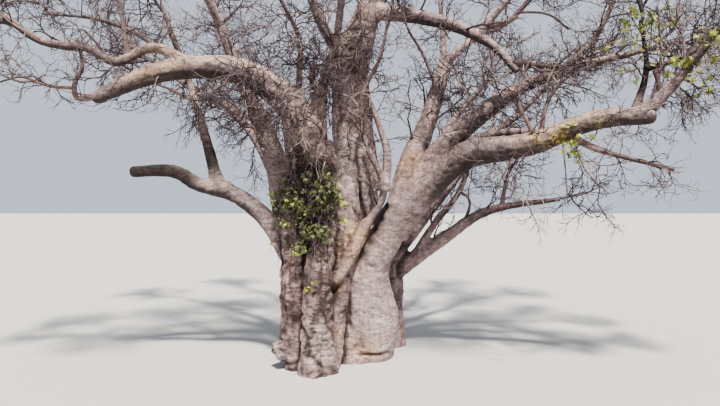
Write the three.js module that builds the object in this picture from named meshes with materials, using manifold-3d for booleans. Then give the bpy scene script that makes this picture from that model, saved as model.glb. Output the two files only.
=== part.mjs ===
// A large, nearly leafless baobab in the dry season, in millimetres.
// X runs to the right and Y away from someone who faces the tree's front, and Z is up.
// The origin is on the ground, in the middle of the flat cut under the trunk.
//
// Stems fused at the foot make the trunk. Each bough is one tapering limb that starts on a stem
// or on another bough, at a share of its length, and carries a mass of bare twigs at its tip.
// Leafy shoots grow on the trunk's front, and a few masses on the right have young leaves.
import * as THREE from 'three';
import { mergeVertices } from 'three/addons/utils/BufferGeometryUtils.js';
import Module from 'manifold-3d';

const wasm = await Module();
wasm.setup();

// Driving dimensions
const GAP = 0.4; // clear space between a limb and what it grows from
const GROUND_CUT_DEPTH = 2000; // depth of the block that cuts the stems off level with the ground
const STEM_SIDES = 12;
const STEM_STEP = 1600; // most space between the rings of a stem
const BOUGH_SIDES = 8;
const THIN_BOUGH_SIDES = 6;
const THIN_BOUGH = 260; // a bough whose root radius is under this has fewer sides
const TWIG_SIDES = 3;
const TWIG_TIP_RADIUS = 13;
const LEAF_LENGTH = 420; // each leaf stands for a spray of real ones
const LEAF_WIDTH = 230;
const LEAF_THICKNESS = 14;
const JOIN_TOLERANCE = 5; // slivers smaller than this are smoothed away where twigs join
const SEED = 20261;

// The stems: where each stands, where it bends, its top, its radius at foot and top, and how much
// wider it is at the ground, as a share of its radius. A belly is a swelling part of the way up.
const STEMS = [
  { name: 'left_outer', bends: [[-1600, -1850, -300], [-1880, -1700, 3000], [-1800, -1650, 6000]],
    top: [-1450, -1800, 9000], radius: [640, 660], flare: 0.08, folds: 3 },
  { name: 'left_inner', bends: [[-1040, -2620, -300], [-1050, -2380, 1500], [-1020, -2150, 3400],
    [-850, -1850, 6000]], top: [-900, -1650, 8600], radius: [610, 500], flare: 0.15, folds: 3 },
  { name: 'right', bends: [[1000, -100, -300], [1090, -100, 1500], [930, -100, 2900], [1090, -100, 4200],
    [1750, -200, 5200]], top: [2900, -550, 6700], radius: [1250, 690], flare: -0.18, belly: 0.17, folds: 2 },
  { name: 'middle', bends: [[-200, 1400, -300], [150, 1100, 4500], [400, 1000, 7400]],
    top: [50, 1000, 12600], radius: [1350, 750], flare: 0.12, folds: 4 },
  { name: 'back_right', bends: [[1500, 2200, -300], [1750, 2100, 2500]],
    top: [2350, 2100, 5000], radius: [1150, 580], flare: 0.08, folds: 3 },
  { name: 'back_left', bends: [[-1750, 450, -300], [-1950, 450, 3500]],
    top: [-2550, 200, 6300], radius: [1050, 570], flare: 0.1, folds: 3 },
  { name: 'left_join', bends: [[-900, -1250, -300], [-680, -1250, 2500], [-170, -900, 5000]],
    top: [50, 200, 8000], radius: [860, 600], flare: 0.04, folds: 2 },
  { name: 'core', bends: [[0, 100, -300]], top: [0, 200, 3600], radius: [1620, 850], flare: 0.04, folds: 0 },
];
const FLARE_HEIGHT = 900; // height in which the flare at the ground dies away
const BELLY = { height: 1700, reach: 1000 }; // where a belly is widest, and how far it goes up and down
const FOLD_DEPTH = 0.07; // depth of the long folds in a stem, as a share of its radius
const BURLS = [
  { centre: [-2380, -1980, 700], radius: 430 },
  { centre: [1050, -1150, 4100], radius: 300 },
];

// The boughs: parent, share of the parent's length where it starts, bends, tip, and radius at root and tip.
// A taper under one keeps a bough thick for longer.
const BOUGHS = [
  { name: 'bough_left_high', from: ['left_outer', 0.95], bends: [[-2050, -2100, 10150],
    [-3950, -2500, 11350], [-6550, -3100, 11200]],
    tip: [-8900, -3550, 10150], radius: [650, 215], taper: 0.8 },
  { name: 'bough_left_far', from: ['bough_left_high', 0.6], bends: [[-7000, -3200, 12050],
    [-8150, -3650, 11400], [-8990, -3800, 11850], [-9900, -4050, 11900], [-10600, -4200, 12050]],
    tip: [-11550, -4500, 12750], radius: [230, 120] },
  { name: 'bough_left_low', from: ['left_outer', 0.44], bends: [[-2620, -1400, 5070],
    [-3440, -1200, 6040], [-4740, -1400, 6890], [-5750, -1650, 7110], [-6600, -1800, 7600]],
    tip: [-8150, -2000, 7590], radius: [430, 225], taper: 1.1 },
  { name: 'bough_left_rising', from: ['bough_left_low', 0.58], bends: [[-5320, -1600, 8390],
    [-5800, -1500, 10000], [-6200, -1400, 11260]],
    tip: [-7250, -1500, 14200], radius: [250, 70] },
  { name: 'bough_left_back', from: ['back_left', 0.96], bends: [[-3150, 200, 8650], [-4400, -300, 11700]],
    tip: [-5450, -700, 14500], radius: [560, 140], taper: 0.9 },
  { name: 'bough_left_spray', from: ['bough_left_far', 0.2], bends: [[-7900, -3000, 12750], [-9200, -2900, 13200]],
    tip: [-11300, -2600, 13500], radius: [95, 50] },
  { name: 'bough_top_left', from: ['middle', 0.985], bends: [[-900, 400, 13800]],
    tip: [-2200, -100, 17000], radius: [310, 150] },
  { name: 'bough_front_top', from: ['left_inner', 0.93], bends: [[-900, -1200, 10900], [-350, -1050, 13000]],
    tip: [100, -2000, 16800], radius: [270, 120] },
  { name: 'bough_leader', from: ['middle', 0.97], bends: [[700, 1000, 14100], [1850, 800, 17000]],
    tip: [2500, 0, 21000], radius: [740, 190], taper: 1 },
  { name: 'bough_right_high', from: ['bough_leader', 0.3], bends: [[3950, -400, 13900], [5900, -1200, 12700]],
    tip: [6750, -1600, 11600], radius: [360, 160], taper: 1 },
  { name: 'bough_right_high_fork', from: ['bough_right_high', 0.68], bends: [[6300, -1100, 13500]],
    tip: [7600, -1400, 14700], radius: [150, 80] },
  { name: 'bough_right_upright', from: ['right', 0.85], bends: [[2800, 250, 8300], [3450, 800, 9650]],
    tip: [4550, 1900, 13000], radius: [560, 290], taper: 1 },
  { name: 'bough_upright_left', from: ['bough_right_upright', 0.95], bends: [[4400, 2200, 14300]],
    tip: [4300, 3000, 17200], radius: [160, 80] },
  { name: 'bough_upright_right', from: ['bough_right_upright', 0.97], bends: [[5550, 1900, 13700]],
    tip: [8200, 2300, 16600], radius: [210, 100] },
  { name: 'bough_right_low', from: ['right', 0.78], bends: [[3250, -750, 6950], [4700, -1200, 8230],
    [7100, -2300, 8620], [9200, -3200, 9400]],
    tip: [10800, -4000, 9450], radius: [700, 330], taper: 1.1 },
  { name: 'bough_right_far', from: ['bough_right_low', 0.97], bends: [[11400, -4450, 10500]],
    tip: [12900, -5200, 12600], radius: [290, 85] },
  { name: 'bough_right_middle', from: ['right', 0.9], bends: [[3600, -350, 8100], [4950, -200, 9500],
    [7700, -200, 11400]],
    tip: [12400, -1000, 12650], radius: [600, 90], taper: 1 },
  { name: 'bough_middle_up', from: ['bough_right_middle', 0.73], bends: [[10250, -700, 13200]],
    tip: [11200, -800, 15200], radius: [150, 80] },
  { name: 'bough_low_up', from: ['bough_right_low', 0.95], bends: [[10850, -3600, 11100]],
    tip: [10800, -3300, 13000], radius: [150, 60] },
  { name: 'bough_right_bare', from: ['bough_right_low', 0.73], bends: [[9250, -3000, 8400]],
    tip: [11600, -4000, 7550], radius: [150, 65] },
  { name: 'bough_back_low', from: ['back_right', 0.62], bends: [[4250, 1400, 4750], [6100, 1000, 6000]],
    tip: [9100, 300, 6550], radius: [420, 80], taper: 1 },
  { name: 'bough_back_rising', from: ['bough_back_low', 0.16], bends: [[3950, 1200, 5550], [4850, 650, 6800]],
    tip: [5400, 500, 8300], radius: [210, 90] },
  { name: 'bough_slender', from: ['left_inner', 0.36], bends: [[-100, -1850, 3700], [650, -1350, 5150],
    [1550, -1350, 6900], [800, -1200, 8900], [700, -1050, 10700], [1400, -1150, 12200]],
    tip: [1700, -1200, 13600], radius: [230, 55] },
  { name: 'bough_back_left', from: ['middle', 0.6], bends: [[-1000, 3700, 9200], [-3000, 6000, 11500],
    [-4300, 8400, 13100]], tip: [-6600, 10200, 15200], radius: [420, 120], taper: 1 },
  { name: 'bough_back_far_left', from: ['back_left', 0.88], bends: [[-3700, 2000, 8700], [-5700, 3600, 11000],
    [-7800, 5300, 12100]], tip: [-10200, 6300, 13900], radius: [400, 110], taper: 1 },
  { name: 'bough_back_right', from: ['back_right', 0.9], bends: [[3200, 4100, 7400], [5200, 6500, 10000],
    [6200, 8800, 11500]], tip: [8200, 10500, 13700], radius: [500, 120], taper: 1 },
  { name: 'bough_back_far_right', from: ['back_right', 0.8], bends: [[4500, 3500, 6800], [7000, 4800, 9600],
    [8900, 6600, 11000]], tip: [11200, 7500, 13100], radius: [380, 110], taper: 1 },
  { name: 'bough_top_back', from: ['bough_leader', 0.42], bends: [[1500, 3600, 17800]],
    tip: [-200, 6500, 19600], radius: [250, 90] },
  { name: 'bough_front_left', from: ['bough_left_back', 0.9], bends: [[-6200, -3300, 16000]],
    tip: [-7600, -6600, 17000], radius: [130, 70] },
  { name: 'bough_front_right', from: ['bough_leader', 0.52], bends: [[3200, -2600, 17600]],
    tip: [4800, -6300, 18400], radius: [260, 100] },
  { name: 'bough_right_crown', from: ['bough_leader', 0.6], bends: [[4700, 2500, 18700]],
    tip: [7600, 4500, 19800], radius: [240, 90] },
];

// The masses of twigs: the bough whose tip carries each, its heading in degrees from X towards Y,
// its climb in degrees above level, the length and width of its space, and how many leaves it has.
const MASSES = [
  { name: 'twigs_left_high', bough: 'bough_left_high', heading: 186, climb: -6, length: 4800, width: 4000 },
  { name: 'twigs_left_far', bough: 'bough_left_far', heading: 184, climb: 10, length: 4200, width: 4200 },
  { name: 'twigs_left_spray', bough: 'bough_left_spray', heading: 160, climb: 36, length: 4600, width: 4800 },
  { name: 'twigs_left_rising', bough: 'bough_left_rising', heading: 168, climb: 52, length: 5200, width: 5400 },
  { name: 'twigs_left_back', bough: 'bough_left_back', heading: 120, climb: 62, length: 5800, width: 5400 },
  { name: 'twigs_front_left', bough: 'bough_front_left', heading: 238, climb: 18, length: 5400, width: 5600 },
  { name: 'twigs_top_left', bough: 'bough_top_left', heading: 160, climb: 64, length: 5800, width: 5600 },
  { name: 'twigs_front_top', bough: 'bough_front_top', heading: 258, climb: 38, length: 6000, width: 5600 },
  { name: 'twigs_leader', bough: 'bough_leader', heading: 200, climb: 76, length: 3000, width: 6000 },
  { name: 'twigs_right_high', bough: 'bough_right_high', heading: -24, climb: -8, length: 3400, width: 3000 },
  { name: 'twigs_right_high_fork', bough: 'bough_right_high_fork', heading: -12, climb: 46, length: 4800, width: 4600 },
  { name: 'twigs_upright_left', bough: 'bough_upright_left', heading: 95, climb: 58, length: 5000, width: 5200 },
  { name: 'twigs_upright_right', bough: 'bough_upright_right', heading: 30, climb: 30, length: 5200, width: 5000 },
  { name: 'twigs_right_far', bough: 'bough_right_far', heading: -28, climb: 34, length: 4400, width: 4800, leaves: 8 },
  { name: 'twigs_right_middle', bough: 'bough_right_middle', heading: 10, climb: 8, length: 4200, width: 4200 },
  { name: 'twigs_middle_up', bough: 'bough_middle_up', heading: 14, climb: 48, length: 4800, width: 4800 },
  { name: 'twigs_low_up', bough: 'bough_low_up', heading: 250, climb: 66, length: 3400, width: 3600, leaves: 6 },
  { name: 'twigs_back_low', bough: 'bough_back_low', heading: 0, climb: 10, length: 2800, width: 2400 },
  { name: 'twigs_slender', bough: 'bough_slender', heading: 40, climb: 72, length: 2400, width: 2200 },
  { name: 'twigs_back_left', bough: 'bough_back_left', heading: 118, climb: 24, length: 5800, width: 6600 },
  { name: 'twigs_back_far_left', bough: 'bough_back_far_left', heading: 158, climb: 24, length: 5800, width: 6600 },
  { name: 'twigs_back_right', bough: 'bough_back_right', heading: 62, climb: 28, length: 5800, width: 6600 },
  { name: 'twigs_back_far_right', bough: 'bough_back_far_right', heading: 28, climb: 26, length: 5600, width: 6400 },
  { name: 'twigs_top_back', bough: 'bough_top_back', heading: 108, climb: 26, length: 5400, width: 6200 },
  { name: 'twigs_front_right', bough: 'bough_front_right', heading: 292, climb: 8, length: 5400, width: 5800 },
  { name: 'twigs_right_crown', bough: 'bough_right_crown', heading: 30, climb: 22, length: 4600, width: 5600 },
];

// Leafy shoots that stand out of the trunk's front: where each starts inside the trunk, and its space.
const SHOOTS = [
  { name: 'shoots_upper', root: [-1250, -2050, 8300], heading: 258, climb: -52, length: 3100, width: 2600, leaves: 12 },
  { name: 'shoots_lower', root: [-900, -2450, 5200], heading: 275, climb: -52, length: 2100, width: 1900, leaves: 8 },
];

const TAPER = 1.25; // a limb's radius falls from root to tip, and with this power it falls faster near the root

function randomSource(seed) {
  let state = seed;
  return () => {
    state = (state + 0x6d2b79f5) | 0;
    let t = Math.imul(state ^ (state >>> 15), 1 | state);
    t = (t + Math.imul(t ^ (t >>> 7), 61 | t)) ^ t;
    return ((t ^ (t >>> 14)) >>> 0) / 4294967296;
  };
}

const vector = (p) => new THREE.Vector3(...p);

function directionOf(heading, climb) {
  const [h, c] = [THREE.MathUtils.degToRad(heading), THREE.MathUtils.degToRad(climb)];
  return new THREE.Vector3(Math.cos(h) * Math.cos(c), Math.sin(h) * Math.cos(c), Math.sin(c));
}

function solidOf(geometry) {
  const bare = geometry.clone();
  bare.deleteAttribute('normal');
  bare.deleteAttribute('uv');
  const merged = mergeVertices(bare, 1e-3);
  return new wasm.Manifold(new wasm.Mesh({
    numProp: 3,
    vertProperties: merged.attributes.position.array,
    triVerts: new Uint32Array(merged.index.array),
  }));
}

// A closed tube through rings of points, each ring a centre, a frame and a radius for each angle.
function tubeSolid(rings, sides) {
  const angles = Array.from({ length: sides }, (_, k) => (2 * Math.PI * k) / sides);
  const points = rings.flatMap(({ centre, normal, binormal, radiusAt }) => angles.map((angle) =>
    centre.clone()
      .addScaledVector(normal, radiusAt(angle) * Math.cos(angle))
      .addScaledVector(binormal, radiusAt(angle) * Math.sin(angle))));
  const faces = [];
  for (let ring = 0; ring + 1 < rings.length; ring += 1) {
    for (let k = 0; k < sides; k += 1) {
      const [a, b] = [ring * sides + k, ring * sides + ((k + 1) % sides)];
      faces.push(a, b, b + sides, a, b + sides, a + sides);
    }
  }
  const last = (rings.length - 1) * sides;
  for (let k = 1; k + 1 < sides; k += 1) {
    faces.push(0, k + 1, k, last, last + k, last + k + 1);
  }
  return new wasm.Manifold(new wasm.Mesh({
    numProp: 3,
    vertProperties: new Float32Array(points.flatMap((p) => p.toArray())),
    triVerts: new Uint32Array(faces),
  }));
}

// A limb along a curve. radiusAt gives the radius at a share of the length and an angle. A grown limb
// stands out all round by that much, and a rounded one ends in a low dome.
function limbSolid(curve, radiusAt, sides, steps, { grow = 0, rounded = false } = {}) {
  const { tangents, normals, binormals } = curve.computeFrenetFrames(steps);
  const ringAt = (i, outward, scale) => ({
    centre: curve.getPointAt(i / steps).addScaledVector(tangents[i], outward),
    normal: normals[i],
    binormal: binormals[i],
    radiusAt: (angle) => radiusAt(i / steps, angle) * scale + grow,
  });
  const rings = Array.from({ length: steps + 1 }, (_, i) => ringAt(i, i === 0 ? -grow : 0, 1));
  const end = radiusAt(1, 0);
  if (rounded) rings.push(ringAt(steps, end * 0.45, 0.86), ringAt(steps, end * 0.75 + grow, 0.5));
  else rings[steps] = ringAt(steps, grow, 1);
  return tubeSolid(rings, sides);
}

// The piece that holds most of a solid's volume, which drops scraps left by a cut.
function largestPiece(solid) {
  return solid.decompose().reduce((a, b) => (b.volume() > a.volume() ? b : a));
}

function boxesMeet(a, b) {
  const [p, q] = [a.boundingBox(), b.boundingBox()];
  return [0, 1, 2].every((k) => p.min[k] <= q.max[k] && q.min[k] <= p.max[k]);
}

// Every stem and bough by name, each with its curve, its radius rule and its solids.
const limbs = new Map();

const radiusRule = ([thick, thin], taper = TAPER) => (share) => thin + (thick - thin) * (1 - share) ** taper;

function stemSolid(stem, curve, grow) {
  const plain = radiusRule(stem.radius);
  const radiusAt = (share, angle) => {
    const height = Math.max(0, curve.getPointAt(share).z);
    const flare = 1 + stem.flare * Math.exp(-height / FLARE_HEIGHT)
      + (stem.belly ?? 0) * Math.exp(-(((height - BELLY.height) / BELLY.reach) ** 2));
    const fold = 1 + FOLD_DEPTH * Math.cos(stem.folds * angle) * Math.sign(stem.folds);
    return plain(share) * flare * fold;
  };
  const steps = Math.ceil(curve.getLength() / STEM_STEP);
  return limbSolid(curve, radiusAt, STEM_SIDES, steps, { grow, rounded: true });
}

function makeTrunk() {
  const ground = solidOf(new THREE.BoxGeometry(20000, 20000, GROUND_CUT_DEPTH)
    .translate(0, 0, -GROUND_CUT_DEPTH / 2));
  const curves = STEMS.map((stem) => new THREE.CatmullRomCurve3([...stem.bends, stem.top].map(vector)));
  const fused = (grow) => [
    ...STEMS.map((stem, i) => stemSolid(stem, curves[i], grow)),
    ...BURLS.map(({ centre, radius }) =>
      solidOf(new THREE.IcosahedronGeometry(radius + grow, 1).translate(...centre))),
  ].reduce((a, b) => a.add(b)).subtract(ground);
  STEMS.forEach((stem, i) => limbs.set(stem.name, { curve: curves[i], radiusAt: radiusRule(stem.radius) }));
  return { solid: fused(0), grown: fused(GAP) };
}

function makeBough(bough, earlier) {
  const [parent, share] = bough.from;
  const root = limbs.get(parent).curve.getPointAt(share);
  const curve = new THREE.CatmullRomCurve3([root, ...bough.bends.map(vector), vector(bough.tip)]);
  const radiusAt = radiusRule(bough.radius, bough.taper);
  const sides = bough.radius[0] < THIN_BOUGH ? THIN_BOUGH_SIDES : BOUGH_SIDES;
  const steps = Math.min(9, Math.max(4, Math.ceil(curve.getLength() / 1200)));
  let solid = limbSolid(curve, radiusAt, sides, steps);
  earlier.forEach((other) => {
    if (boxesMeet(solid, other)) solid = solid.subtract(other);
  });
  limbs.set(bough.name, { curve, radiusAt });
  return { solid: largestPiece(solid), grown: limbSolid(curve, radiusAt, sides, steps, { grow: GAP }) };
}

// A mass's space is an ellipsoid that starts at its root. Places are measured in it from 0 to 1.
function spaceOf(mass, root) {
  const axis = directionOf(mass.heading, mass.climb);
  const centre = root.clone().addScaledVector(axis, mass.length / 2);
  return { axis, centre, along: mass.length / 2, across: mass.width / 2 };
}

function depthIn(space, point) {
  const offset = point.clone().sub(space.centre);
  const along = offset.dot(space.axis);
  const across = Math.sqrt(Math.max(0, offset.lengthSq() - along * along));
  return Math.hypot(along / space.along, across / space.across);
}

// The length of a ray from a point inside a space to the space's surface.
function reachIn(space, point, direction) {
  let [near, far] = [0, 2 * Math.max(space.along, space.across)];
  for (let i = 0; i < 12; i += 1) {
    const middle = (near + far) / 2;
    if (depthIn(space, point.clone().addScaledVector(direction, middle)) < 1) near = middle;
    else far = middle;
  }
  return near;
}

const LIMB_SAMPLES = 24;
const LIMB_MARGIN = 1.16; // covers a stem's flare and folds
const TWIG_CLEARANCE = 60; // least space from a twig to a limb

function sampledLimbs() {
  return [...limbs.values()].flatMap(({ curve, radiusAt }) =>
    curve.getSpacedPoints(LIMB_SAMPLES).map((point, i) => ({
      point, radius: radiusAt(i / LIMB_SAMPLES) * LIMB_MARGIN,
    })));
}

// Whether a path stays in its own space, nearer to it than to any other, and clear of the limbs.
function isFree(points, space, spaces, samples) {
  return points.every((point) => {
    const depth = depthIn(space, point);
    return depth < 1.02
      && spaces.every((other) => other === space || depthIn(other, point) > depth + 0.12)
      && samples.every((s) => s.point.distanceTo(point) > s.radius + TWIG_CLEARANCE);
  });
}

// A direction turned away from another by an angle, towards a side given by a second angle.
function turned(direction, angle, side) {
  const across = new THREE.Vector3(0.3, 0.2, 0.9).cross(direction).normalize()
    .applyAxisAngle(direction, side);
  return direction.clone().applyAxisAngle(across, angle);
}

const TRIES = 7;
const STEM_TWIG_SEGMENTS = 3;
const STEM_SHARE = 0.8; // radius of a mass's stem where it leaves the bough, as a share of the bough's tip
const SIDE_TWIG_SPACING = 1150; // a mass has one side twig for each of these along its space
const GOLDEN_ANGLE = 2.4;

function twigSolid(points, thick, thin, steps) {
  const curve = new THREE.CatmullRomCurve3(points);
  return limbSolid(curve, (t) => thin + (thick - thin) * (1 - t), TWIG_SIDES, steps);
}

function leafSolid(place, direction, side) {
  const turn = new THREE.Quaternion().setFromUnitVectors(new THREE.Vector3(1, 0, 0), direction)
    .multiply(new THREE.Quaternion().setFromAxisAngle(new THREE.Vector3(1, 0, 0), side));
  const matrix = new THREE.Matrix4().compose(
    place.clone().addScaledVector(direction, LEAF_LENGTH * 0.42),
    turn,
    new THREE.Vector3(LEAF_LENGTH / 2, LEAF_WIDTH / 2, LEAF_THICKNESS / 2),
  );
  return solidOf(new THREE.OctahedronGeometry(1).applyMatrix4(matrix));
}

// The twig rule: one stem runs through the space, side twigs leave it in turn at the golden angle and
// run to the space's surface, and one or two finer twigs fork from each.
function makeMass(mass, root, thick, space, spaces, samples, random) {
  const wander = (size) => new THREE.Vector3(random() - 0.5, random() - 0.5, random() - 0.5)
    .multiplyScalar(size);
  const stemLength = mass.length * 0.92;
  const stemPoints = Array.from({ length: STEM_TWIG_SEGMENTS + 1 }, (_, i) =>
    root.clone().addScaledVector(space.axis, (stemLength * i) / STEM_TWIG_SEGMENTS)
      .add(wander(i === 0 ? 0 : mass.length * 0.09)));
  const stem = new THREE.CatmullRomCurve3(stemPoints);
  const parts = [twigSolid(stemPoints, thick, TWIG_TIP_RADIUS, STEM_TWIG_SEGMENTS + 1)];
  const twigs = [];
  const grow = (start, direction, length, radius, steps) => {
    const bend = start.clone().addScaledVector(direction, length * 0.5).add(wander(length * 0.16));
    const end = start.clone().addScaledVector(direction, length).add(wander(length * 0.12));
    const outer = [0.35, 0.7, 1].map((t) => start.clone().lerp(end, t));
    if (!isFree([...outer, bend], space, spaces, samples)) return null;
    const points = [start, bend, end];
    parts.push(twigSolid(points, radius, TWIG_TIP_RADIUS, steps));
    const curve = new THREE.CatmullRomCurve3(points);
    twigs.push(curve);
    return curve;
  };
  // Turns a twig further round and makes it shorter until it is free, or leaves it out.
  const growAway = (start, base, angle, side, share, radius, steps) => {
    for (let t = 0; t < TRIES; t += 1) {
      const direction = turned(base, angle + 0.35 * random(), side + t + random());
      const length = reachIn(space, start, direction) * share * (1 - 0.08 * t);
      const twig = grow(start, direction, length, radius, steps);
      if (twig) return twig;
    }
    return null;
  };
  const sideTwigs = Math.round(mass.length / SIDE_TWIG_SPACING);
  for (let i = 0; i < sideTwigs; i += 1) {
    const share = 0.14 + (0.78 * i) / sideTwigs;
    const radius = Math.max(TWIG_TIP_RADIUS * 2.2, thick * 0.55 * (1 - share));
    const side = growAway(stem.getPointAt(share), space.axis, 0.75, i * GOLDEN_ANGLE, 0.93, radius, 2);
    for (let k = 0; side && k < 2 - (i % 2); k += 1) {
      growAway(side.getPointAt(0.38 + 0.3 * k), side.getTangentAt(0.6), 0.6, 6.3 * random(), 0.8,
        TWIG_TIP_RADIUS * 1.8, 1);
    }
  }
  for (let i = 0; i < (mass.leaves ?? 0) && twigs.length > 0; i += 1) {
    const twig = twigs[i % twigs.length];
    const [share, roll] = [0.4 + 0.55 * random(), 6.3 * random()];
    const direction = turned(twig.getTangentAt(share), 1.0, 6.3 * random());
    const place = twig.getPointAt(share);
    const end = place.clone().addScaledVector(direction, LEAF_LENGTH);
    if (isFree([end], space, spaces, samples)) parts.push(leafSolid(place, direction, roll));
  }
  return parts.reduce((a, b) => a.add(b)).simplify(JOIN_TOLERANCE);
}

const bark = new THREE.MeshStandardMaterial({ color: 0x8f7d76, roughness: 0.85, metalness: 0 });
const twigBark = new THREE.MeshStandardMaterial({ color: 0x6f5c5e, roughness: 0.9, metalness: 0 });
const leafy = new THREE.MeshStandardMaterial({ color: 0x7f9440, roughness: 0.7, metalness: 0 });

const tree = new THREE.Group();

function addNode(name, solid, material) {
  const mesh = solid.getMesh();
  const geometry = new THREE.BufferGeometry()
    .setAttribute('position', new THREE.BufferAttribute(new Float32Array(mesh.vertProperties), 3))
    .setIndex(new THREE.BufferAttribute(new Uint32Array(mesh.triVerts), 1));
  geometry.computeVertexNormals();
  const node = new THREE.Mesh(geometry, material);
  node.name = name;
  tree.add(node);
}

const trunk = makeTrunk();
addNode('trunk', trunk.solid, bark);

const grownLimbs = [trunk.grown];
for (const bough of BOUGHS) {
  const { solid, grown } = makeBough(bough, grownLimbs);
  grownLimbs.push(grown);
  addNode(bough.name, solid, bark);
}

const random = randomSource(SEED);
const samples = sampledLimbs();
const rooted = [
  ...MASSES.map((mass) => {
    const { curve, radiusAt } = limbs.get(mass.bough);
    const thick = radiusAt(1) * STEM_SHARE;
    return { mass, thick, root: curve.getPointAt(1).addScaledVector(curve.getTangentAt(1), -thick) };
  }),
  ...SHOOTS.map((mass) => ({ mass, root: vector(mass.root), thick: 45 })),
];
const spaces = rooted.map(({ mass, root }) => spaceOf(mass, root));
rooted.forEach(({ mass, root, thick }, i) => {
  const solid = makeMass(mass, root, thick, spaces[i], spaces, samples, random);
  const clear = grownLimbs.reduce((s, limb) => (boxesMeet(s, limb) ? s.subtract(limb) : s), solid);
  addNode(mass.name, largestPiece(clear), mass.leaves ? leafy : twigBark);
});

export default tree;
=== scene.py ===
# A large baobab in the dry season: fused stems with folded grey-pink bark, tapering boughs, and
# a crown of bare, crooked twigs with a few young leaves.
# X runs to the right, Y away from the camera and Z up, in metres, with the ground at zero.
import math

import bpy
import numpy as np
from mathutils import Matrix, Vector


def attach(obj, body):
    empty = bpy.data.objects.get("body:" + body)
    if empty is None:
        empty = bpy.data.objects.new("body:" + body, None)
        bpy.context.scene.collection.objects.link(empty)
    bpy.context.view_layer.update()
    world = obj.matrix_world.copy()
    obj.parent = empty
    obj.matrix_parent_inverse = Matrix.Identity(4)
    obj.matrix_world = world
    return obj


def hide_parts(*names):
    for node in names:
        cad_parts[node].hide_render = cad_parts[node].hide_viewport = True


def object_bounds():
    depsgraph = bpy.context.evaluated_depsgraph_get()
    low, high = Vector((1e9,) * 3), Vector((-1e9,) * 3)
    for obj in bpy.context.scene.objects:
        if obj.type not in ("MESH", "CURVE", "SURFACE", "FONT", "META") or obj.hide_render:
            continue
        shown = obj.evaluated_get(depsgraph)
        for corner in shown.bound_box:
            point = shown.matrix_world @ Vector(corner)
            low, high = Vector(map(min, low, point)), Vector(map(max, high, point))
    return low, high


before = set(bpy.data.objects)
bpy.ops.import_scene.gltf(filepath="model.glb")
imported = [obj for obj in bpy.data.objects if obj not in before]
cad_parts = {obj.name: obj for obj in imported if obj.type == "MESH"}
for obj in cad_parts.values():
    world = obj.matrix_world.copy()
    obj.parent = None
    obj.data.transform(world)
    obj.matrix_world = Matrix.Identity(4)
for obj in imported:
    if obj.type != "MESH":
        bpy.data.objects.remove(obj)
cad_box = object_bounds()
rng = np.random.default_rng(20261)

# The trunk and its thick boughs. Eight stems have grown together, and their soft wood has folded
# grey-pink bark. Closed tubes along the limbs are fused into one skin, the bark's relief pushes it in
# and out, and it is cut flat at the ground.

# A stem has its points from foot to top, its radius at both ends, its flare at the ground and its
# belly higher up as shares of its radius, its number of folds, and how rugged its bark is.
STEMS = [
    ("left_outer", [[-1.6, -1.85, -0.3], [-1.88, -1.7, 3], [-1.8, -1.65, 6], [-1.45, -1.8, 9]],
     [0.64, 0.66], 0.08, 0, 3, 1),
    ("left_inner", [[-1.04, -2.62, -0.3], [-1.05, -2.38, 1.5], [-1.02, -2.15, 3.4], [-0.85, -1.85, 6],
     [-0.9, -1.65, 8.6]], [0.61, 0.5], 0.15, 0, 3, 1),
    ("right", [[1, -0.1, -0.3], [1.09, -0.1, 1.5], [0.93, -0.1, 2.9], [1.09, -0.1, 4.2],
     [1.75, -0.2, 5.2], [2.9, -0.55, 6.7]], [1.25, 0.69], -0.18, 0.17, 2, 0.25),
    ("middle", [[-0.2, 1.4, -0.3], [0.15, 1.1, 4.5], [0.4, 1, 7.4], [0.05, 1, 12.6]], [1.35, 0.75],
     0.12, 0, 4, 0.5),
    ("back_right", [[1.5, 2.2, -0.3], [1.75, 2.1, 2.5], [2.35, 2.1, 5]], [1.15, 0.58], 0.08, 0, 3, 0.5),
    ("back_left", [[-1.75, 0.45, -0.3], [-1.95, 0.45, 3.5], [-2.55, 0.2, 6.3]], [1.05, 0.57], 0.1, 0, 3,
     0.7),
    ("left_join", [[-0.9, -1.25, -0.3], [-0.68, -1.25, 2.5], [-0.17, -0.9, 5], [0.05, 0.2, 8]],
     [0.86, 0.6], 0.04, 0, 2, 0.5),
    ("core", [[0, 0.1, -0.3], [0, 0.2, 3.6]], [1.62, 0.85], 0.04, 0, 0, 0.6),
]

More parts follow.
